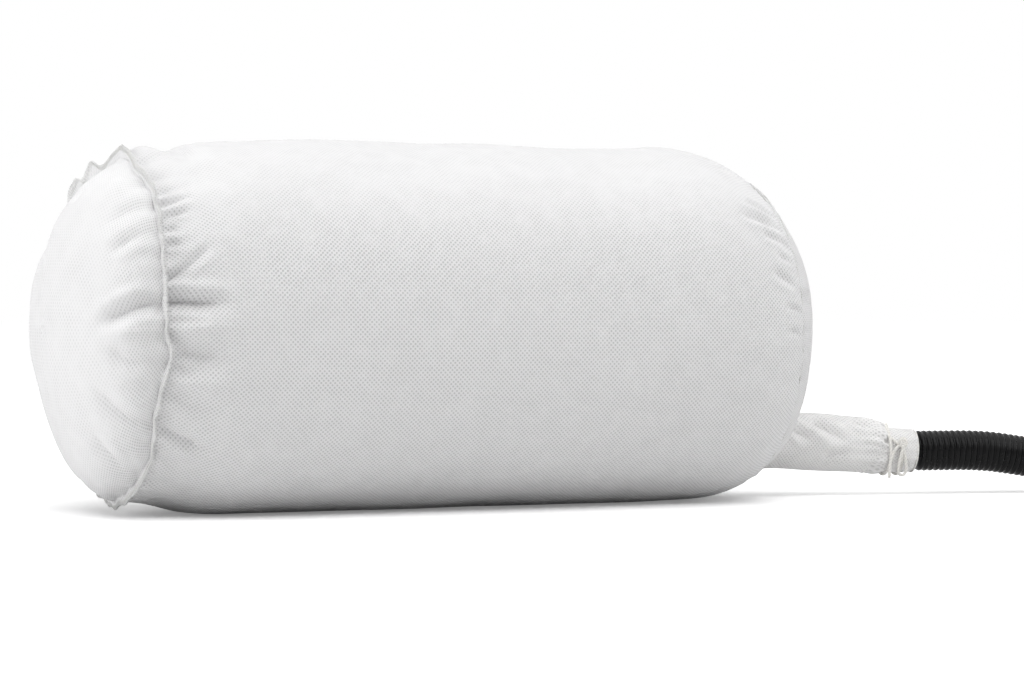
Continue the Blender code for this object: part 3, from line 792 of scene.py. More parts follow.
def moulded_plastic(name, colour):
    """Satin moulded plastic with a fine spark-eroded grain and worn patches."""
    made, tree, shader = material_for(name, colour, 0.42)
    shader.inputs["Specular IOR Level"].default_value = 0.5
    at = places(tree, "Object")
    grain = add_node(tree, "ShaderNodeTexVoronoi", Scale=1700.0)
    tree.links.new(at, grain.inputs["Vector"])
    wear = noise(tree, at, 60, 5, 0.6)
    tree.links.new(remap(tree, wear, 0.35, 0.7, 0.34, 0.52), shader.inputs["Roughness"])
    blend_colours(tree, remap(tree, wear, 0.45, 0.75, 0, 1), colour, scaled(colour, 1.7), shader)
    relief(tree, grain.outputs["Distance"], shader, 0.00010, 0.35)
    return made


def woven_strap(name, colour):
    """Woven hook-and-loop tape: ribs across it and a twill of warp yarns along it."""
    made, tree, shader = material_for(name, colour, 0.8)
    shader.inputs["Sheen Weight"].default_value = 0.25
    at = axes(tree, places(tree, "UV"))
    across = maths(tree, "SINE", maths(tree, "MULTIPLY", at["X"], 2 * PI / 0.0009))
    along = maths(tree, "SINE", maths(tree, "MULTIPLY", at["Y"], 2 * PI / 0.0013))
    weave = maths(tree, "MULTIPLY", across, along)
    fuzz = noise(tree, places(tree, "Object"), 2600, 4, 0.6)
    height = weighted(tree, (weave, 0.3), (fuzz, 1.0))
    # The colour follows the relief: the weave's hollows are painted darker, painted shade, and the fuzz adds
    # random tone.
    blend_colours(tree, height, scaled(colour, 0.6), scaled(colour, 1.9), shader)
    relief(tree, height, shader, 0.0003, 0.8)
    return made


def dress(obj, material, body, nodes=()):
    """Finishes a piece: its material, the body that it rides on and the CAD nodes it stands for."""
    obj.data.materials.clear()
    obj.data.materials.append(material)
    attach(obj, body)
    for name in nodes:
        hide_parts(name)


# ---------------------------------------------------------------- pieces of the bag

def disc_pattern(count, reach):
    """Flat places of a row of an end's round cloth."""
    angle = 2 * PI * np.arange(count + 1) / count
    return np.stack([reach * np.sin(angle), -reach * np.cos(angle)], axis=1)


def tube_pattern(count, radius, along):
    """Flat places of a row of a cloth that is rolled into a tube."""
    return np.stack([radius * 2 * PI * np.arange(count + 1) / count, np.full(count + 1, along)], axis=1)


def turned_edge(edge, inward, x, angle):
    """A row of the inlet seam's edge, which is turned into the bag."""
    return ring_points(x, edge - inward, angle, axis_height(INLET_X), EDGE_LIFT)


def columns_at(share, first):
    """Columns round a dome, fewer towards its middle. They halve at first, and again further in."""
    for limit, part in ((first, 1), (0.62, 2), (0.86, 4)):
        if share < limit:
            return SEAM_COLUMNS // part
    return SEAM_COLUMNS // 8


class DUSTBAG_OT_side_panel(bpy.types.Operator):
    """The side cloth: one sheet rolled into a tube, gathered into puckers at both end seams"""
    bl_idname = "dustbag.side_panel"
    bl_label = "Side Panel"

    def execute(self, context):
        settings = context.scene.dust_bag
        near = 0.075 * np.linspace(0, 1, 22) ** 1.35
        middle = np.linspace(CLOSED_X + 0.0815, INLET_X - 0.0815, 58)
        x = [*(CLOSED_X + near), *middle, *(INLET_X - near[::-1])]
        by_seam, between = [SEAM_COLUMNS] * len(near), [SEAM_COLUMNS // 2] * len(middle)
        rows, patterns = [], []
        for place, count in zip(x, by_seam + between + by_seam):
            rows.append(side_point(place, circle(count), settings))
            patterns.append(tube_pattern(count, BAG_RADIUS, place))
        angle = circle(SEAM_COLUMNS)
        for out in CLOSED_EDGE:
            rows.insert(0, frill_point(angle, out, PLY_SHIFT, settings))
            patterns.insert(0, patterns[0] - [0, out])
        edge = side_radius(INLET_X) + side_height(INLET_X, angle, settings)
        for inward in INLET_EDGE:
            rows.append(turned_edge(edge, inward, INLET_X - 0.0002, angle))
            patterns.append(patterns[-1] + [0, inward])
        piece = ring_sheet("bag_side", rows, patterns)
        if settings.solid_cloth:
            thicken(piece, CLOTH)
        dress(piece, nonwoven("bag_side_cloth", settings), "bag", ["side_panel"])
        return {"FINISHED"}


class DUSTBAG_OT_closed_end(bpy.types.Operator):
    """The closed end's round cloth, blown out into a dome, with its seam edge turned outwards"""
    bl_idname = "dustbag.closed_end"
    bl_label = "Closed End Panel"

    def execute(self, context):
        settings = context.scene.dust_bag
        gathers = puckers(14, settings.pucker_count, settings.pucker_depth * 0.8, 0.020)
        folds = [(r0 * np.sin(np.radians(a0)), r0 * np.cos(np.radians(a0)),
                  r1 * np.sin(np.radians(a1)), r1 * np.cos(np.radians(a1)), w, d)
                 for r0, a0, r1, a1, w, d in CAP_FOLDS]
        rows, patterns = [], []
        for out in reversed(CLOSED_EDGE):
            rows.append(frill_point(circle(SEAM_COLUMNS), out, -PLY_SHIFT, settings))
            patterns.append(disc_pattern(SEAM_COLUMNS, CLOSED_FLAT + out))
        for t in (*np.linspace(0, 0.30, 24), *np.linspace(0.34, 0.97, 26)):
            count = columns_at(t, 0.31)
            rows.append(self.dome(t, circle(count), gathers, folds))
            patterns.append(disc_pattern(count, CLOSED_FLAT * (1 - t)))
        top = self.dome(1.0, np.zeros(1), gathers, folds)[0]
        piece = ring_sheet("bag_closed_end", rows, patterns, flip=True, pole=(top, (0.0, 0.0)))
        if settings.solid_cloth:
            thicken(piece, CLOTH)
        cloth = nonwoven("bag_closed_end_cloth", settings)
        dress(piece, cloth, "bag", ["closed_end_panel"])
        return {"FINISHED"}

    @staticmethod
    def dome(t, angle, gathers, folds):
        """Points of the dome. t is 0 at its seam and 1 at its middle."""
        lift = t * PI / 2
        front = np.degrees(turned_by(angle, PI))
        edge = CLOSED_RIM + closed_seam_out(angle) * (1 - t) ** 3
        radius = edge * np.cos(lift)
        depth = (CLOSED_DOME + 0.0030) * np.sin(lift)
        away = CLOSED_RIM * lift
        flat_x, flat_y = radius * np.sin(angle - PI), radius * np.cos(angle - PI)
        height = pucker_height(gathers, angle, away + 0 * angle, CLOSED_RIM)
        height = height + fold_height(folds, flat_x, flat_y)
        height = height + 0.0008 * ease(away / 0.04) * waves(41, angle, away, 7, (2, 7), (0.09, 0.3))
        for rise, turn, spread in DOME_SWELLS:
            height = height + rise * np.sin(2 * lift) * bump((front - turn) / spread)
        slack = np.minimum(1, t / 0.06) * bump((t - 0.22) / 0.25)
        height = height - 0.0120 * slack * bump((front + 14) / 26)
        out_x, out_r = np.sin(lift + 0.25), np.cos(lift + 0.25)
        x = CLOSED_X - GAP + closed_seam_x(angle) * (1 - t) ** 4 - depth - height * out_x
        radius = radius + height * out_r * np.minimum(1, 3 * (1 - t))
        return ring_points(x, radius, angle, axis_height(CLOSED_X))


class DUSTBAG_OT_inlet_end(bpy.types.Operator):
    """The inlet end's round cloth with the hole for the neck, its seam edge turned inwards"""
    bl_idname = "dustbag.inlet_end"
    bl_label = "Inlet End Panel"

    def execute(self, context):
        settings = context.scene.dust_bag
        gathers = puckers(15, settings.pucker_count + 6, settings.pucker_depth * 0.8, 0.016)
        rows, patterns = [], []
        angle = circle(SEAM_COLUMNS)
        edge = INLET_RIM + inlet_seam_out(angle)
        for inward in reversed(INLET_EDGE):
            rows.append(turned_edge(edge, inward, INLET_X + 0.0006, angle))
            patterns.append(disc_pattern(SEAM_COLUMNS, INLET_FLAT + inward))
        for t in (*np.linspace(0.0, 0.26, 20), *np.linspace(0.30, 0.97, 26)):
            count = columns_at(t, 0.27)
            rows.append(self.dome(t, circle(count), gathers))
            patterns.append(disc_pattern(count, INLET_FLAT * (1 - t)))
        top = self.dome(1.0, np.zeros(1), gathers)[0]
        piece = ring_sheet("bag_inlet_end", rows, patterns, pole=(top, (0.0, 0.0)))
        if settings.solid_cloth:
            thicken(piece, CLOTH)
        self.cut_neck_hole(piece)
        cloth = nonwoven("bag_inlet_end_cloth", settings)
        dress(piece, cloth, "bag", ["inlet_end_panel"])
        for node in ("inlet_end_overlock", "neck_root_overlock"):
            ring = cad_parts[node]
            ring.data.materials.clear()
            ring.data.materials.append(stitched_edge(node + "_thread", (0.80, 0.80, 0.78), 380))
        return {"FINISHED"}

    @staticmethod
    def dome(t, angle, gathers):
        """Points of the panel. t is 0 at its seam and 1 at its middle."""
        start = np.arccos((INLET_RIM / BAG_RADIUS) ** (INLET_SQUARE / 2))
        turn = start + (PI / 2 - start) * t ** (1 - 0.25 * t)
        along = INLET_ROUNDING * np.sin(turn) ** (2 / INLET_SQUARE)
        base = BAG_RADIUS * np.cos(turn) ** (2 / INLET_SQUARE) if t < 1 else 0.0
        away = INLET_RIM * t
        height = pucker_height(gathers, angle, away + 0 * angle, INLET_RIM)
        height = height + 0.0009 * ease(away / 0.04) * waves(51, angle, away, 7, (2, 7), (0.09, 0.3))
        height = height + inlet_seam_out(angle) * (1 - t) ** 8
        x = ROUND_X + along + GAP + height * np.sin(turn)
        radius = (base + height * np.cos(turn)) * min(1, 12 * (1 - t)) if t < 1 else 0 * angle
        low = np.degrees(np.abs(turned_by(angle, 0)))
        front = np.degrees(turned_by(angle, PI))
        radius = radius - (0.0064 * bump(low / 25) + 0.0042 * bump((front - 22) / 44)) * (1 - t) ** 2
        return ring_points(x, radius, angle, AXIS_Z - INLET_DROP * (along / INLET_ROUNDING))

    @staticmethod
    def cut_neck_hole(piece):
        """Cuts the hole with a round cutter as wide as the neck."""
        deselect_all()
        bpy.ops.mesh.primitive_cylinder_add(
            vertices=96, radius=NECK_RADIUS + GAP, depth=0.09,
            location=(NECK_ROOT + 0.045, 0, NECK_HEIGHT), rotation=(0, PI / 2, 0))
        cutter = bpy.context.active_object
        make_active(piece)
        cut = piece.modifiers.new("neck_hole", "BOOLEAN")
        cut.operation = "DIFFERENCE"
        cut.solver = "EXACT"
        cut.object = cutter
        bpy.ops.object.modifier_apply(modifier=cut.name)
        bpy.data.objects.remove(cutter, do_unlink=True)
        piece.data.shade_smooth()
        piece.data.set_sharp_from_angle(angle=np.radians(60))
        deselect_all()


class DUSTBAG_OT_lengthwise_seam(bpy.types.Operator):
    """The felled seam that closes the side cloth into a tube, along its back"""
    bl_idname = "dustbag.lengthwise_seam"
    bl_label = "Lengthwise Seam"

    def execute(self, context):
        settings = context.scene.dust_bag
        x = np.linspace(CLOSED_X + FELL_MARGIN, INLET_X - FELL_MARGIN, 300)
        rng = np.random.default_rng(61)
        shape = [(-4.0, 0.15), (-3.9, 0.75), (-3.1, 0.95), (-2.7, 0.62), (-2.2, 1.12), (0.0, 1.25),
                 (2.2, 1.12), (2.7, 0.62), (3.1, 0.95), (3.9, 0.75), (4.0, 0.15), (0.0, 0.10)]
        rows, patterns = [], []
        ripple = np.interp(x, np.linspace(x[0], x[-1], 90), rng.normal(0, 0.00022, 90))
        for place, lift in zip(x, ripple):
            ring = []
            for across, over in shape:
                angle = FELL_ANGLE + across * 0.001 / BAG_RADIUS
                ring.append(side_point(place, angle, settings, 0.0002 + over * 0.001 + lift))
            rows.append(np.array(ring))
            around = [*[s[0] * 0.001 for s in shape], shape[0][0] * 0.001 - 0.002]
            patterns.append(np.stack([around, np.full(len(around), place)], axis=1))
        piece = ring_sheet("bag_lengthwise_seam", rows, patterns)
        cap_ends(piece, len(shape))
        cloth = nonwoven("bag_fell_cloth", settings)
        dress(piece, cloth, "bag", ["lengthwise_seam"])
        return {"FINISHED"}


def cap_ends(obj, count):
    """Closes both ends of a strip of rows with a face each."""
    with opened(obj) as mesh:
        total = len(mesh.verts)
        mesh.faces.new([mesh.verts[i] for i in range(count)])
        mesh.faces.new([mesh.verts[i] for i in range(total - count, total)])
    obj.data.set_sharp_from_angle(angle=np.radians(50))


class DUSTBAG_OT_edge_stitching(bpy.types.Operator):
    """The overlock thread that loops round the closed end's seam edges"""
    bl_idname = "dustbag.edge_stitching"
    bl_label = "Closed End Overlock"

    def execute(self, context):
        settings = context.scene.dust_bag
        count = int(round(2 * PI * (CLOSED_RIM + SEAM_ALLOWANCE) / settings.overlock_pitch))
        steps = 11
        turn = 2 * PI * np.arange(count * steps) / steps
        angle = turn / count
        out = SEAM_ALLOWANCE - 0.0022 + 0.0027 * np.cos(turn)
        side = 0.0011 * np.sin(turn)
        line = np.stack([frill_point(a, o, s, settings) for a, o, s in zip(angle, out, side)])
        radius = 0.00030
        way = np.roll(line, -1, axis=0) - np.roll(line, 1, axis=0)
        way /= np.linalg.norm(way, axis=1)[:, None]
        middle = np.stack([frill_point(a, SEAM_ALLOWANCE - 0.0022, 0.0, settings) for a in angle])
        outward = line - middle
        outward -= way * (outward * way).sum(axis=1)[:, None]
        outward /= np.linalg.norm(outward, axis=1)[:, None]
        third = np.cross(way, outward)
        sides = 5
        rows, patterns = [], []
        for i in range(len(line)):
            ring = [line[i] + radius * (np.cos(b) * outward[i] + np.sin(b) * third[i]) for b in circle(sides)]
            rows.append(np.array(ring))
            patterns.append(np.stack([np.arange(sides + 1) / sides, np.full(sides + 1, i * 0.0009)], axis=1))
        rows.append(rows[0])
        patterns.append(patterns[-1] + [0, 0.0009])
        piece = ring_sheet("bag_closed_end_overlock", rows, patterns)
        with opened(piece) as mesh:
            bmesh.ops.remove_doubles(mesh, verts=mesh.verts, dist=1e-6)
        dress(piece, thread("overlock_thread", (0.84, 0.84, 0.82)), "bag",
              ["closed_end_overlock"])
        return {"FINISHED"}


# ---------------------------------------------------------------- neck and tie

def neck_line(step):
    """The neck's centreline, its distance from the mouth (negative) and its smooth radius there."""
    keys = [
        (np.array([NECK_ROOT, 0, NECK_HEIGHT]), 0.0276), (np.array([0.3575, 0, NECK_HEIGHT]), 0.0272),
        (np.array([0.3925, -0.0030, 0.0525]), 0.0283), (np.array([0.4255, -0.0105, 0.0500]), 0.0277),
    ]
    for back, up, radius in ((0.0500, 0.0056, 0.0268), (0.0415, 0.0022, 0.0240), (0.0350, 0.0016, 0.0224),
                             (0.0180, 0.0010, 0.0216), (0, 0, 0.0210)):
        keys.append((MOUTH - back * HEADING + up * UP, radius))
    line = lines_through([point for point, _ in keys], 24)
    radius = lines_through([(r, 0, 0) for _, r in keys], 24)[:, 0]
    along = np.concatenate([[0], np.cumsum(np.linalg.norm(np.diff(line, axis=0), axis=1))])
    even, at = evenly(line, step)
    return even, at - at[-1], np.interp(at, along, radius)


def neck_height(at, angle, root):
    """Gathers and creases of the neck. at is the distance from the mouth, angle goes round it."""
    drawn = bump((at + 0.041) / 0.0105) + 0.35 * bump((at + 0.056) / 0.016)
    pleat = waves(71, angle, at, 5, (9, 15), (0.10, 0.3))
    pleat = pleat + 0.6 * waves(72, angle, at, 4, (17, 25), (0.1, 0.3))
    total = drawn * 0.00115 * pleat
    total = total + 0.00042 * bump((at + 0.004) / 0.010) * waves(73, angle, at, 5, (7, 14), (0.1, 0.3))
    total = total + 0.0008 * np.exp(-(at - root) / 0.010) * waves(74, angle, at, 5, (10, 20), (0.05, 0.2))
    calm = ease((-0.030 - at) / 0.02)
    total = total + calm * 0.0007 * waves(75, angle, at, 6, (2, 5), (0.05, 0.16))
    creases = [(-0.146, 0.9, -0.120, 1.55, 0.0042, 0.0052), (-0.114, 0.75, -0.080, 1.50, 0.0048, 0.0052),
               (-0.100, 2.1, -0.070, 1.75, 0.0040, 0.0026), (-0.072, 0.5, -0.048, 1.0, 0.0036, 0.0030),
               (-0.130, -1.2, -0.095, -0.7, 0.0042, 0.0026), (-0.085, -1.9, -0.052, -1.5, 0.0040, 0.0020)]
    folds = [(x0, a0 * NECK_RADIUS, x1, a1 * NECK_RADIUS, w, d) for x0, a0, x1, a1, w, d in creases]
    return total + fold_height(folds, at, turned_by(angle, 0) * NECK_RADIUS)


def mouth_draw(angle):
    """How far the hemmed mouth is drawn back along the hose, most at its bottom."""
    return 0.0045 - 0.0012 * np.cos(angle)


def hose_clearance(point, at, angle):
    """How far from the neck's middle the cloth has to be so that it lies over the hose inside."""
    if at < -STUB_LENGTH - 0.003:
        return 0.0
    lift = (point - MOUTH - HEADING * at).dot(UP)
    return np.sqrt(HEM_OUTER ** 2 - (lift * np.sin(angle)) ** 2) - lift * np.cos(angle)


class DUSTBAG_OT_neck(bpy.types.Operator):
    """The neck sleeve, drawn in by the cord, and the hem turned into its mouth"""
    bl_idname = "dustbag.neck"
    bl_label = "Neck and Hem"

    def execute(self, context):
        settings = context.scene.dust_bag
        line, at, radius = neck_line(0.0014)
        angle = circle(NECK_COLUMNS)
        across, other = frames_along(line, UP)
        rows, patterns = [], []
        for i in range(len(line)):
            reach = radius[i] + neck_height(at[i], angle, at[0])
            reach = np.maximum(reach, hose_clearance(line[i], at[i], angle))
            draw = mouth_draw(angle)[:, None] * float(ease(1 + at[i] / 0.020)) * HEADING
            rows.append(line[i] + across[i] * (reach * np.cos(angle))[:, None]
                        + other[i] * (reach * np.sin(angle))[:, None] - draw)
            patterns.append(tube_pattern(NECK_COLUMNS, NECK_RADIUS, at[i]))
        sleeve = ring_sheet("neck_sleeve_cloth", rows, patterns)
        if settings.solid_cloth:
            thicken(sleeve, NECK_CLOTH)
        # The neck's cloth is painted brighter, with fainter dots: painted light, as the neck lies low in the
        # bag's shade.
        cloth = nonwoven("neck_cloth", settings, 0.3, 0.55, 1.13)
        dress(sleeve, cloth, "bag", ["neck_sleeve"])
        hem = self.hem(settings)
        return {"FINISHED"}

    def hem(self, settings):
        """The ply turned into the mouth, with its rolled edge and its stitches."""
        angle = circle(NECK_COLUMNS)
        shape = [(-HEM_LENGTH, 0.01995), (-0.0070, 0.01993), (-0.0010, 0.01995), (0.0004, 0.02010),
                 (0.0012, 0.02045), (0.0012, 0.02080), (0.0004, 0.02115), (-0.0004, 0.02112)]
        rows, patterns = [], []
        for along, radius in shape:
            wave = 0.00022 * waves(73, angle, along, 5, (7, 14), (0.1, 0.3)) * (along > -0.002)
            reach = radius + wave
            draw = mouth_draw(angle)[:, None] * HEADING
            rows.append(MOUTH + HEADING * along - draw + UP * (reach * np.cos(angle))[:, None]
                        - FRONT * (reach * np.sin(angle))[:, None])
            patterns.append(tube_pattern(NECK_COLUMNS, HEM_OUTER - 0.0001, along + radius))
        hem = ring_sheet("neck_hem_ply", rows, patterns)
        thicken(hem, 0.00025, 1.0)
        # The hem's ply is painted brighter, with faint dots: painted light.
        cloth = nonwoven("neck_hem_cloth", settings, 1.0, 0.3, 1.13)
        dress(hem, cloth, "bag", ["neck_hem"])
        stitches = self.stitches()
        dress(stitches, thread("hem_thread", (0.46, 0.44, 0.40)), "bag")
        return hem

    @staticmethod
    def stitches():
        """A row of running stitches round the hem, near its edge."""
        points, faces, corners = [], [], []
        count, sides = 52, 5
        for k in range(count):
            middle = 2 * PI * k / count
            for j, step in enumerate(np.linspace(-0.36, 0.36, 6)):
                angle = middle + step * 2 * PI / count
                dip = 0.00028 * (abs(step) / 0.36) ** 4
                out = -FRONT * np.sin(angle) + UP * np.cos(angle)
                ply = neck_height(-0.0100, np.array([angle]), -0.2)[0]
                back = 0.0100 + mouth_draw(angle)
                centre = MOUTH - HEADING * back + out * (HEM_OUTER + ply - dip)
                for b in circle(sides):
                    points.append(centre + 0.00028 * (np.cos(b) * out + np.sin(b) * HEADING))
                if j:
                    base = len(points) - 2 * sides
                    for i in range(sides):
                        n = (i + 1) % sides
                        faces.append([base + i, base + n, base + sides + n, base + sides + i])
                        corners += [(i / sides, j), ((i + 1) / sides, j), ((i + 1) / sides, j + 1),
                                    (i / sides, j + 1)]
            first, last = len(points) - 6 * sides, len(points) - sides
            faces.append([first + i for i in range(sides)][::-1])
            faces.append([last + i for i in range(sides)])
            corners += [(0, 0)] * (2 * sides)
        piece = new_mesh("neck_hem_stitches", points, faces, corners)
        with opened(piece):
            pass
        return piece


def on_tie(along, out, up):
    return MOUTH + HEADING * (along + TIE_SHIFT) + FRONT * out + UP * up


def strand_radius(radius, twist):
    """A cord's outline: its three strands stand proud and wind round it."""
    return lambda at, angle: radius * (0.90 + 0.14 * np.abs(np.cos(1.5 * (angle - 2 * PI * at / twist))))


class DUSTBAG_OT_tie_cord(bpy.types.Operator):
    """The tie cord: two turns round the neck, a knot, a hanging bow and a short tail"""
    bl_idname = "dustbag.tie_cord"
    bl_label = "Tie Cord"

    def execute(self, context):
        settings = context.scene.dust_bag_tie
        radius = settings.cord_radius
        wrap = HEM_OUTER + GAP + radius
        loose = wrap + 0.0019
        knot_out = wrap + radius + 0.0026
        knot_up = knot_out * np.sin(KNOT_TURN)
        knot_front = knot_out * np.cos(KNOT_TURN)
        knot = on_tie(KNOT_AT, knot_front, knot_up)
        tail = [on_tie(KNOT_AT + x, knot_front - 0.0006, knot_up + z) for x, z in
                ((-0.0140, -0.0335), (-0.0134, -0.0240), (-0.0118, -0.0150), (-0.0084, -0.0064))]
        turns = []
        for share in np.linspace(0, 1, 57):
            angle = KNOT_TURN + np.radians(16) + share * np.radians(688)
            along = FIRST_TURN_AT + TURN_STEP * ease((share - 0.53) / 0.20) + 0.0004 * np.sin(share * 17)
            turns.append(on_tie(along, loose * np.cos(angle), loose * np.sin(angle) + 0.0018))
        over = [knot + HEADING * x + UP * z + FRONT * y for x, z, y in
                ((-0.0042, -0.0016, 0.0), (-0.0030, 0.0024, 0.0006), (0.0006, 0.0040, 0.0012),
                 (0.0034, 0.0016, 0.0012), (0.0024, -0.0020, 0.0004), (-0.0012, -0.0026, -0.0010),
                 (-0.0046, 0.0002, -0.0020))]
        bow = []
        for x, z, back in ((0.0010, -0.0060, 0), (0.0022, -0.0120, 0.0006), (0.0033, -0.0180, 0.0014),
                           (0.0041, -0.0238, 0.0024), (0.0036, -0.0282, 0.0034), (0.0014, -0.0306, 0.0040),
                           (-0.0014, -0.0308, 0.0040), (-0.0037, -0.0284, 0.0034), (-0.0042, -0.0240, 0.0024),
                           (-0.0034, -0.0180, 0.0014), (-0.0022, -0.0120, 0.0006), (-0.0008, -0.0062, 0)):
            bow.append(on_tie(KNOT_AT + x, knot_front + 0.0004 - back, knot_up + z))
        under = [knot + HEADING * x + UP * z + FRONT * y for x, z, y in
                 ((0.0030, 0.0006, -0.0012), (0.0026, 0.0040, -0.0006), (-0.0006, 0.0054, 0.0004),
                  (-0.0030, 0.0030, 0.0014), (-0.0016, -0.0012, 0.0016))]
        ends = [knot + FRONT * 0.0004 - UP * 0.0016 - HEADING * 0.0002]
        guide = np.array([*tail, *over, *turns, *under, *bow, *ends])
        line, at = evenly(lines_through(guide, 12), 0.0005)
        cord = tube("tie_cord", line, at, 15, strand_radius(radius, settings.twist), first=HEADING)
        cotton = twisted_cord("tie_cord_cotton", settings.cord_colour, settings.twist)
        knot_piece = self.knot(knot, settings)
        dress(knot_piece, cotton, "tie")
        dress(cord, cotton, "tie",
              ["tie_cord_wraps", "tie_cord_knot", "tie_cord_bow", "tie_cord_tail"])
        return {"FINISHED"}

    @staticmethod
    def knot(centre, settings):
        """Two and a half turns of the same cord, pulled tight over the crossing."""
        share = np.linspace(0, 1, 90)
        turn = 2 * PI * 2.5 * share + 0.6
        swing = 0.0022
        line = (centre + np.outer((share - 0.5) * 0.0040, UP + 0.35 * HEADING)
                + np.outer(swing * np.cos(turn), HEADING)
                + np.outer(swing * 0.85 * np.sin(turn), FRONT))
        line, at = evenly(line, 0.0005)
        return tube("tie_cord_knot_turns", line, at, 15,
                    strand_radius(settings.cord_radius * 0.93, settings.twist), first=HEADING)


# ---------------------------------------------------------------- hose, strap and cuff

def coil_point(angle, height):
    return np.array([COIL[0] + COIL_RADIUS * np.cos(angle), COIL[1] + COIL_RADIUS * np.sin(angle), height])


def hose_line():
    """The hose's centreline: out of the neck, down to the floor and twice round its coil."""
    start = MOUTH - HEADING * STUB_LENGTH
    inside = [start + HEADING * s for s in (0.0, 0.016, 0.033)]
    run = [np.array([MOUTH[0] + x, MOUTH[1] + y, z]) for x, y, z in HOSE_ROUTE]
    down = [coil_point(np.radians(a), COIL[2]) for a in range(230, 485, 6)]
    climb = []
    for a in range(488, 561, 6):
        climb.append(coil_point(np.radians(a), COIL[2] + (UPPER_Z - COIL[2]) * ease((a - 485) / 75)))
    upper = []
    for a in range(566, 719, 6):
        rise = ease((a - 360 - 315) / 33)
        upper.append(coil_point(np.radians(a), UPPER_Z + (CUFF_Z - UPPER_Z) * rise))
    end = [CUFF_AXIS + np.array([0, y, 0]) for y in (-0.001, 0.010, 0.022, 0.0335)]
    return lines_through([*inside, *run, *down, *climb, *upper, *end], 10)


class DUSTBAG_OT_hose(bpy.types.Operator):
    """The corrugated hose, from inside the neck to its far end in the coil"""
    bl_idname = "dustbag.hose"
    bl_label = "Hose"

    def execute(self, context):
        settings = context.scene.dust_bag_hose
        pitch, depth = settings.rib_pitch, settings.rib_depth
        line, at = evenly(hose_line(), pitch / 8)

        def ribbed(along, angle):
            crest = 0.5 + 0.5 * np.cos(2 * PI * along / pitch)
            proud = 0.0008 * ease((along - STUB_LENGTH) / 0.005) - 0.0002
            return HOSE_RADIUS + proud - depth * (1 - crest ** 0.55) + 0 * angle

        hose = tube("hose_corrugated", line, at, 26, ribbed, bore=(0.0160, 0.075))
        plastic = hose_plastic("hose_gloss", settings.hose_colour)
        dress(hose, plastic, "hose", ["hose_stub", "hose_run", "hose_coil", "hose_top_run"])
        return {"FINISHED"}


class DUSTBAG_OT_coil_strap(bpy.types.Operator):
    """The hook-and-loop strap that holds the coil's two turns together"""
    bl_idname = "dustbag.coil_strap"
    bl_label = "Coil Strap"

    def execute(self, context):
        half = HOSE_RADIUS + STRAP_SLACK
        bottom = STRAP_WALL + half
        top = UPPER_Z + HOSE_RADIUS + 2 * GAP - half
        middle = coil_point(STRAP_AT, 0)
        out = np.array([np.cos(STRAP_AT), np.sin(STRAP_AT), 0])
        along = np.array([-np.sin(STRAP_AT), np.cos(STRAP_AT), 0])
        share = np.linspace(0, 1, 220)
        turn = np.radians(8) - share * np.radians(360 + 52)
        lift = 0.0013 * ease((share - 0.80) / 0.10)
        rows, patterns = [], []
        for t, s, over in zip(share, turn, lift):
            height = bottom + (top - bottom) * ease(0.5 + 0.9 * np.sin(s))
            width = 0.010 * (1 - 0.85 * ease((t - 0.985) / 0.015) ** 2)
            ring = []
            for side, wall in ((-1, 0.0001), (-0.97, STRAP_WALL), (-0.5, STRAP_WALL), (0, STRAP_WALL),
                               (0.5, STRAP_WALL), (0.97, STRAP_WALL), (1, 0.0001), (0, 0.0)):
                reach = half + wall + over
                ring.append(middle + out * reach * np.cos(s) + UP * (height + reach * np.sin(s))
                            + along * side * width)
            rows.append(np.array(ring))
            around = [-0.010, -0.0097, -0.005, 0.0, 0.005, 0.0097, 0.010, 0.020, 0.030]
            patterns.append(np.stack([around, np.full(9, t * 0.28)], axis=1))
        strap = ring_sheet("hose_strap", rows, patterns)
        cap_ends(strap, 8)
        dress(strap, woven_strap("strap_weave", (0.022, 0.022, 0.024)), "hose", ["coil_strap"])
        return {"FINISHED"}


def turned_piece(name, outline, sides):
    """A turned shell on the cuff's axis, modelled as by hand: a circle drawn out through its outline."""
    deselect_all()
    start, radius = outline[0]
    bpy.ops.mesh.primitive_circle_add(
        vertices=sides, radius=radius, location=tuple(CUFF_AXIS + np.array([0, start, 0])),
        rotation=(PI / 2, 0, 0))
    obj = bpy.context.active_object
    obj.name = name
    obj.data.name = name
    bpy.ops.object.transform_apply(location=True, rotation=True, scale=True)
    bpy.ops.object.mode_set(mode="EDIT")
    bpy.ops.mesh.select_all(action="SELECT")
    last_along, last_radius = start, radius
    for along, radius in outline[1:]:
        bpy.ops.mesh.extrude_region_move(
            TRANSFORM_OT_translate={"value": (0, along - last_along, 0)})
        share = radius / last_radius
        if abs(share - 1) > 1e-9:
            bpy.ops.transform.resize(value=(share, 1, share),
                                     center_override=tuple(CUFF_AXIS + np.array([0, along, 0])))
        last_along, last_radius = along, radius
    bpy.ops.mesh.select_all(action="DESELECT")
    bpy.ops.mesh.select_mode(type="EDGE")
    bpy.ops.mesh.select_non_manifold()
    bpy.ops.mesh.bridge_edge_loops()
    bpy.ops.mesh.select_all(action="SELECT")
    bpy.ops.mesh.normals_make_consistent(inside=False)
    bpy.ops.object.mode_set(mode="OBJECT")
    return obj


def select_faces(obj, wanted):
    """Opens edit mode with the faces selected whose centre, from the cuff's axis, passes a test."""
    make_active(obj)
    for polygon in obj.data.polygons:
        polygon.select = bool(wanted(polygon.center - Vector(CUFF_AXIS)))
    bpy.ops.object.mode_set(mode="EDIT")
    bpy.ops.mesh.select_mode(type="FACE")
    bpy.ops.object.mode_set(mode="OBJECT")
    for polygon in obj.data.polygons:
        polygon.select = bool(wanted(polygon.center - Vector(CUFF_AXIS)))
    bpy.ops.object.mode_set(mode="EDIT")


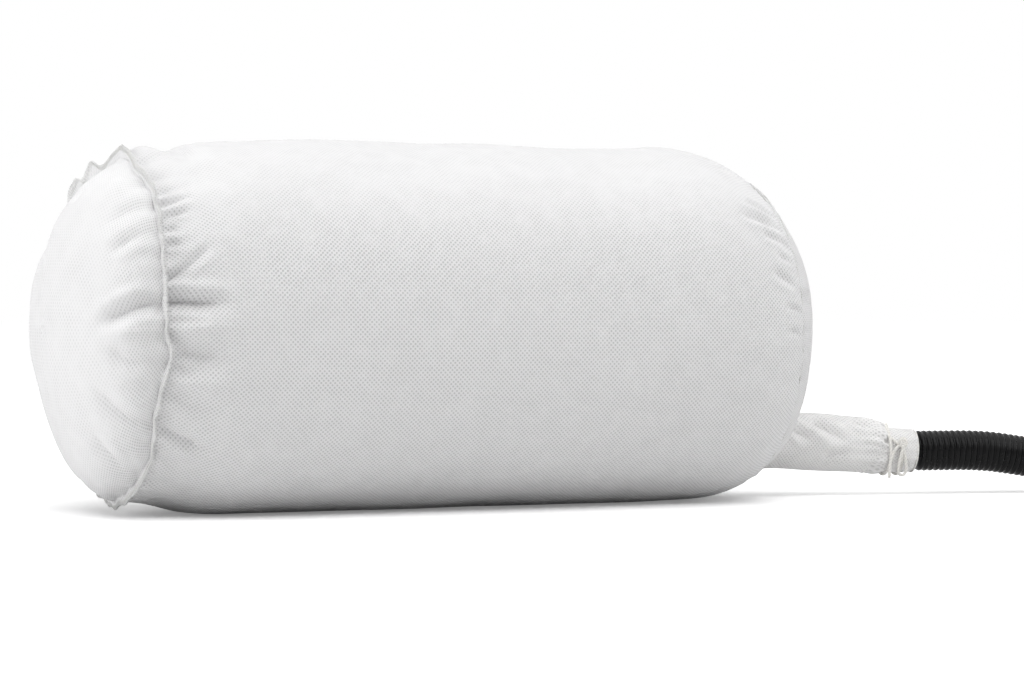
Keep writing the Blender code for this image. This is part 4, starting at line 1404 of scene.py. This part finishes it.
def soften_edges(obj, width):
    make_active(obj)
    rounded = obj.modifiers.new("edges", "BEVEL")
    rounded.width = width
    rounded.segments = 2
    rounded.limit_method = "ANGLE"
    rounded.angle_limit = np.radians(32)
    bpy.ops.object.modifier_apply(modifier=rounded.name)
    obj.data.shade_smooth()
    obj.data.set_sharp_from_angle(angle=np.radians(45))
    deselect_all()


class DUSTBAG_OT_hose_end(bpy.types.Operator):
    """The collar fixed on the hose's end, and the ribbed cuff that turns on it"""
    bl_idname = "dustbag.hose_end"
    bl_label = "Collar and Cuff"

    def execute(self, context):
        settings = context.scene.dust_bag_hose
        inner, low = HOSE_RADIUS + GAP, 0.004
        rim_start, rim_end, collar_end = low + 0.0195, low + 0.0245, low + 0.030
        collar = turned_piece("hose_collar", [
            (low, inner), (low, COLLAR_OUTER), (rim_start, COLLAR_OUTER), (rim_start, RIM_OUTER),
            (rim_end, RIM_OUTER), (rim_end, COLLAR_OUTER), (collar_end, COLLAR_OUTER),
            (collar_end, inner)], 72)
        soften_edges(collar, 0.0003)
        plastic = moulded_plastic("cuff_plastic", (0.018, 0.018, 0.020))
        dress(collar, plastic, "hose", ["hose_end_collar"])
        rim_low = rim_start - SNUG
        start, floor, end = rim_low - 0.009, collar_end + SNUG, rim_low - 0.009 + 0.076
        lip, groove = COLLAR_OUTER + GAP, RIM_OUTER + GAP
        shoulder = floor + 0.0019
        cuff = turned_piece("hose_cuff", [
            (start, lip), (start, CUFF_OUTER), (start + 0.0022, CUFF_OUTER), (shoulder - 0.0022, CUFF_OUTER),
            (shoulder, CUFF_OUTER), (shoulder + 0.004, 0.0232), (shoulder + 0.010, 0.0212),
            (end - 0.010, 0.0210), (end - 0.0095, 0.0216), (end - 0.0065, 0.0216), (end - 0.006, 0.0210),
            (end, 0.0210), (end, 0.0175), (floor + 0.002, 0.0175), (floor, 0.0180), (floor, groove),
            (rim_low, groove), (rim_low, lip)], 2 * settings.grip_ribs)
        inside_grip = (start + 0.0022, shoulder - 0.0022)

        def grip(centre):
            if not inside_grip[0] < centre.y < inside_grip[1] or np.hypot(centre.x, centre.z) < 0.0245:
                return False
            place = np.arctan2(centre.z, centre.x) / (2 * PI) * 2 * settings.grip_ribs
            return int(np.floor(place)) % 2 == 0

        select_faces(cuff, grip)
        bpy.ops.mesh.inset(thickness=0.00035, use_individual=True)
        bpy.ops.mesh.extrude_region_shrink_fatten(TRANSFORM_OT_shrink_fatten={"value": 0.0007})
        bpy.ops.object.mode_set(mode="OBJECT")
        soften_edges(cuff, 0.0003)
        dress(cuff, plastic, "cuff", ["swivel_cuff"])
        return {"FINISHED"}


# ---------------------------------------------------------------- stage

def softbox(name, place, aim, size, power):
    light = bpy.data.lights.new(name, "AREA")
    light.shape = "RECTANGLE"
    light.size, light.size_y = size
    light.energy = power
    lamp = bpy.data.objects.new(name, light)
    lamp.location = place
    lamp.rotation_euler = (Vector(aim) - Vector(place)).to_track_quat("-Z", "Y").to_euler()
    bpy.context.scene.collection.objects.link(lamp)
    return lamp


def white_to_camera(tree):
    """One where a ray comes straight or by mirror or glass from the camera, and nought elsewhere."""
    path = tree.nodes.new("ShaderNodeLightPath")
    seen = maths(tree, "MAXIMUM", path.outputs["Is Camera Ray"], path.outputs["Is Glossy Ray"])
    return maths(tree, "MAXIMUM", seen, path.outputs["Is Transmission Ray"])


class DUSTBAG_OT_stage(bpy.types.Operator):
    """The pale floor, the soft studio light and the camera"""
    bl_idname = "dustbag.stage"
    bl_label = "Stage"

    def execute(self, context):
        settings = context.scene.dust_bag_stage
        self.floor()
        self.world(settings)
        softbox("top_softbox", (0.0, 0.0, 2.4), (0.0, 0.0, 0.0), (3.6, 2.8), settings.top_power)
        softbox("front_softbox", (0.0, -1.5, 2.0), (0.0, 0.0, 0.0), (3.6, 1.6), settings.front_power)
        softbox("right_softbox", (2.6, -0.3, 0.6), (0.3, 0.0, 0.1), (1.6, 0.9), settings.right_power)
        softbox("left_softbox", (-2.6, 0.3, 0.8), (0.0, 0.0, 0.15), (1.6, 1.4), settings.side_power)
        data = bpy.data.cameras.new("camera")
        data.lens = settings.lens
        data.sensor_width = 36
        camera = bpy.data.objects.new("camera", data)
        camera.location = (-1.0649, -2.5875, 0.1849)
        camera.rotation_euler = (np.radians(89.352), 0, np.radians(-23.835))
        scene = context.scene
        scene.collection.objects.link(camera)
        scene.camera = camera
        scene.view_settings.view_transform = "Standard"
        return {"FINISHED"}

    @staticmethod
    def floor():
        deselect_all()
        bpy.ops.mesh.primitive_grid_add(x_subdivisions=8, y_subdivisions=8, size=60, location=(0, 0, -0.0003))
        floor = bpy.context.active_object
        floor.name = "floor"
        bpy.ops.object.transform_apply(location=True, rotation=True, scale=True)
        made, tree, shader = material_for("floor_white", (0.97, 0.97, 0.97), 0.9)
        shader.inputs["Specular IOR Level"].default_value = 0.0
        # The floor's glow, seen only by camera, mirror and glass rays, is painted light: weakest, 0.2, round
        # the bag and rising to 1 at about 1.5 m, so the shadow near the bag stays and the floor further out
        # turns white.
        glow = add_node(tree, "ShaderNodeEmission", Color=(1, 1, 1, 1))
        spot = add_node(tree, "ShaderNodeVectorMath", operation="LENGTH")
        tree.links.new(places(tree, "Object", (0.9, 1, 1)), spot.inputs[0])
        near = remap(tree, spot.outputs["Value"], 0.20, 0.45, 0.20, 0.50, smooth=True)
        glowing = maths(tree, "MAXIMUM", near, remap(tree, spot.outputs["Value"], 0.3, 1.5, 0.2, 1.0))
        tree.links.new(maths(tree, "MULTIPLY", white_to_camera(tree), glowing), glow.inputs["Strength"])
        both = tree.nodes.new("ShaderNodeAddShader")
        tree.links.new(shader.outputs["BSDF"], both.inputs[0])
        tree.links.new(glow.outputs["Emission"], both.inputs[1])
        output = tree.nodes["Material Output"]
        tree.links.new(both.outputs["Shader"], output.inputs["Surface"])
        floor.data.materials.append(made)

    @staticmethod
    def world(settings):
        world = bpy.data.worlds.new("studio")
        bpy.context.scene.world = world
        world.use_nodes = True
        tree = world.node_tree
        back = tree.nodes["Background"]
        back.inputs["Color"].default_value = (1, 1, 1, 1)
        seen = white_to_camera(tree)
        strength = maths(tree, "ADD", maths(tree, "MULTIPLY", seen, 1.0 - settings.fill), settings.fill)
        tree.links.new(strength, back.inputs["Strength"])


OPERATORS = (
    DUSTBAG_OT_stage, DUSTBAG_OT_side_panel, DUSTBAG_OT_closed_end, DUSTBAG_OT_inlet_end,
    DUSTBAG_OT_lengthwise_seam, DUSTBAG_OT_edge_stitching, DUSTBAG_OT_neck, DUSTBAG_OT_tie_cord,
    DUSTBAG_OT_coil_strap, DUSTBAG_OT_hose_end, DUSTBAG_OT_hose,
)


class DUSTBAG_PT_panel(bpy.types.Panel):
    """The dust bag's settings and its build steps"""
    bl_idname = "DUSTBAG_PT_panel"
    bl_label = "Dust Bag"
    bl_space_type = "VIEW_3D"
    bl_region_type = "UI"
    bl_category = "Dust Bag"

    def draw(self, context):
        layout = self.layout
        for name in ("dust_bag", "dust_bag_tie", "dust_bag_hose", "dust_bag_stage"):
            settings = getattr(context.scene, name)
            column = layout.column(align=True)
            for key in type(settings).__annotations__:
                column.prop(settings, key)
        for operator in OPERATORS:
            layout.operator(operator.bl_idname)


def register():
    for made in (*SETTINGS, *OPERATORS, DUSTBAG_PT_panel):
        bpy.utils.register_class(made)
    bpy.types.Scene.dust_bag = PointerProperty(type=BagSettings)
    bpy.types.Scene.dust_bag_tie = PointerProperty(type=TieSettings)
    bpy.types.Scene.dust_bag_hose = PointerProperty(type=HoseSettings)
    bpy.types.Scene.dust_bag_stage = PointerProperty(type=StageSettings)


def unregister():
    for name in ("dust_bag", "dust_bag_tie", "dust_bag_hose", "dust_bag_stage"):
        delattr(bpy.types.Scene, name)
    for made in (DUSTBAG_PT_panel, *reversed(OPERATORS), *reversed(SETTINGS)):
        bpy.utils.unregister_class(made)


def main():
    register()
    for operator in OPERATORS:
        group, name = operator.bl_idname.split(".")
        getattr(getattr(bpy.ops, group), name)()


if __name__ == "__main__":
    main()
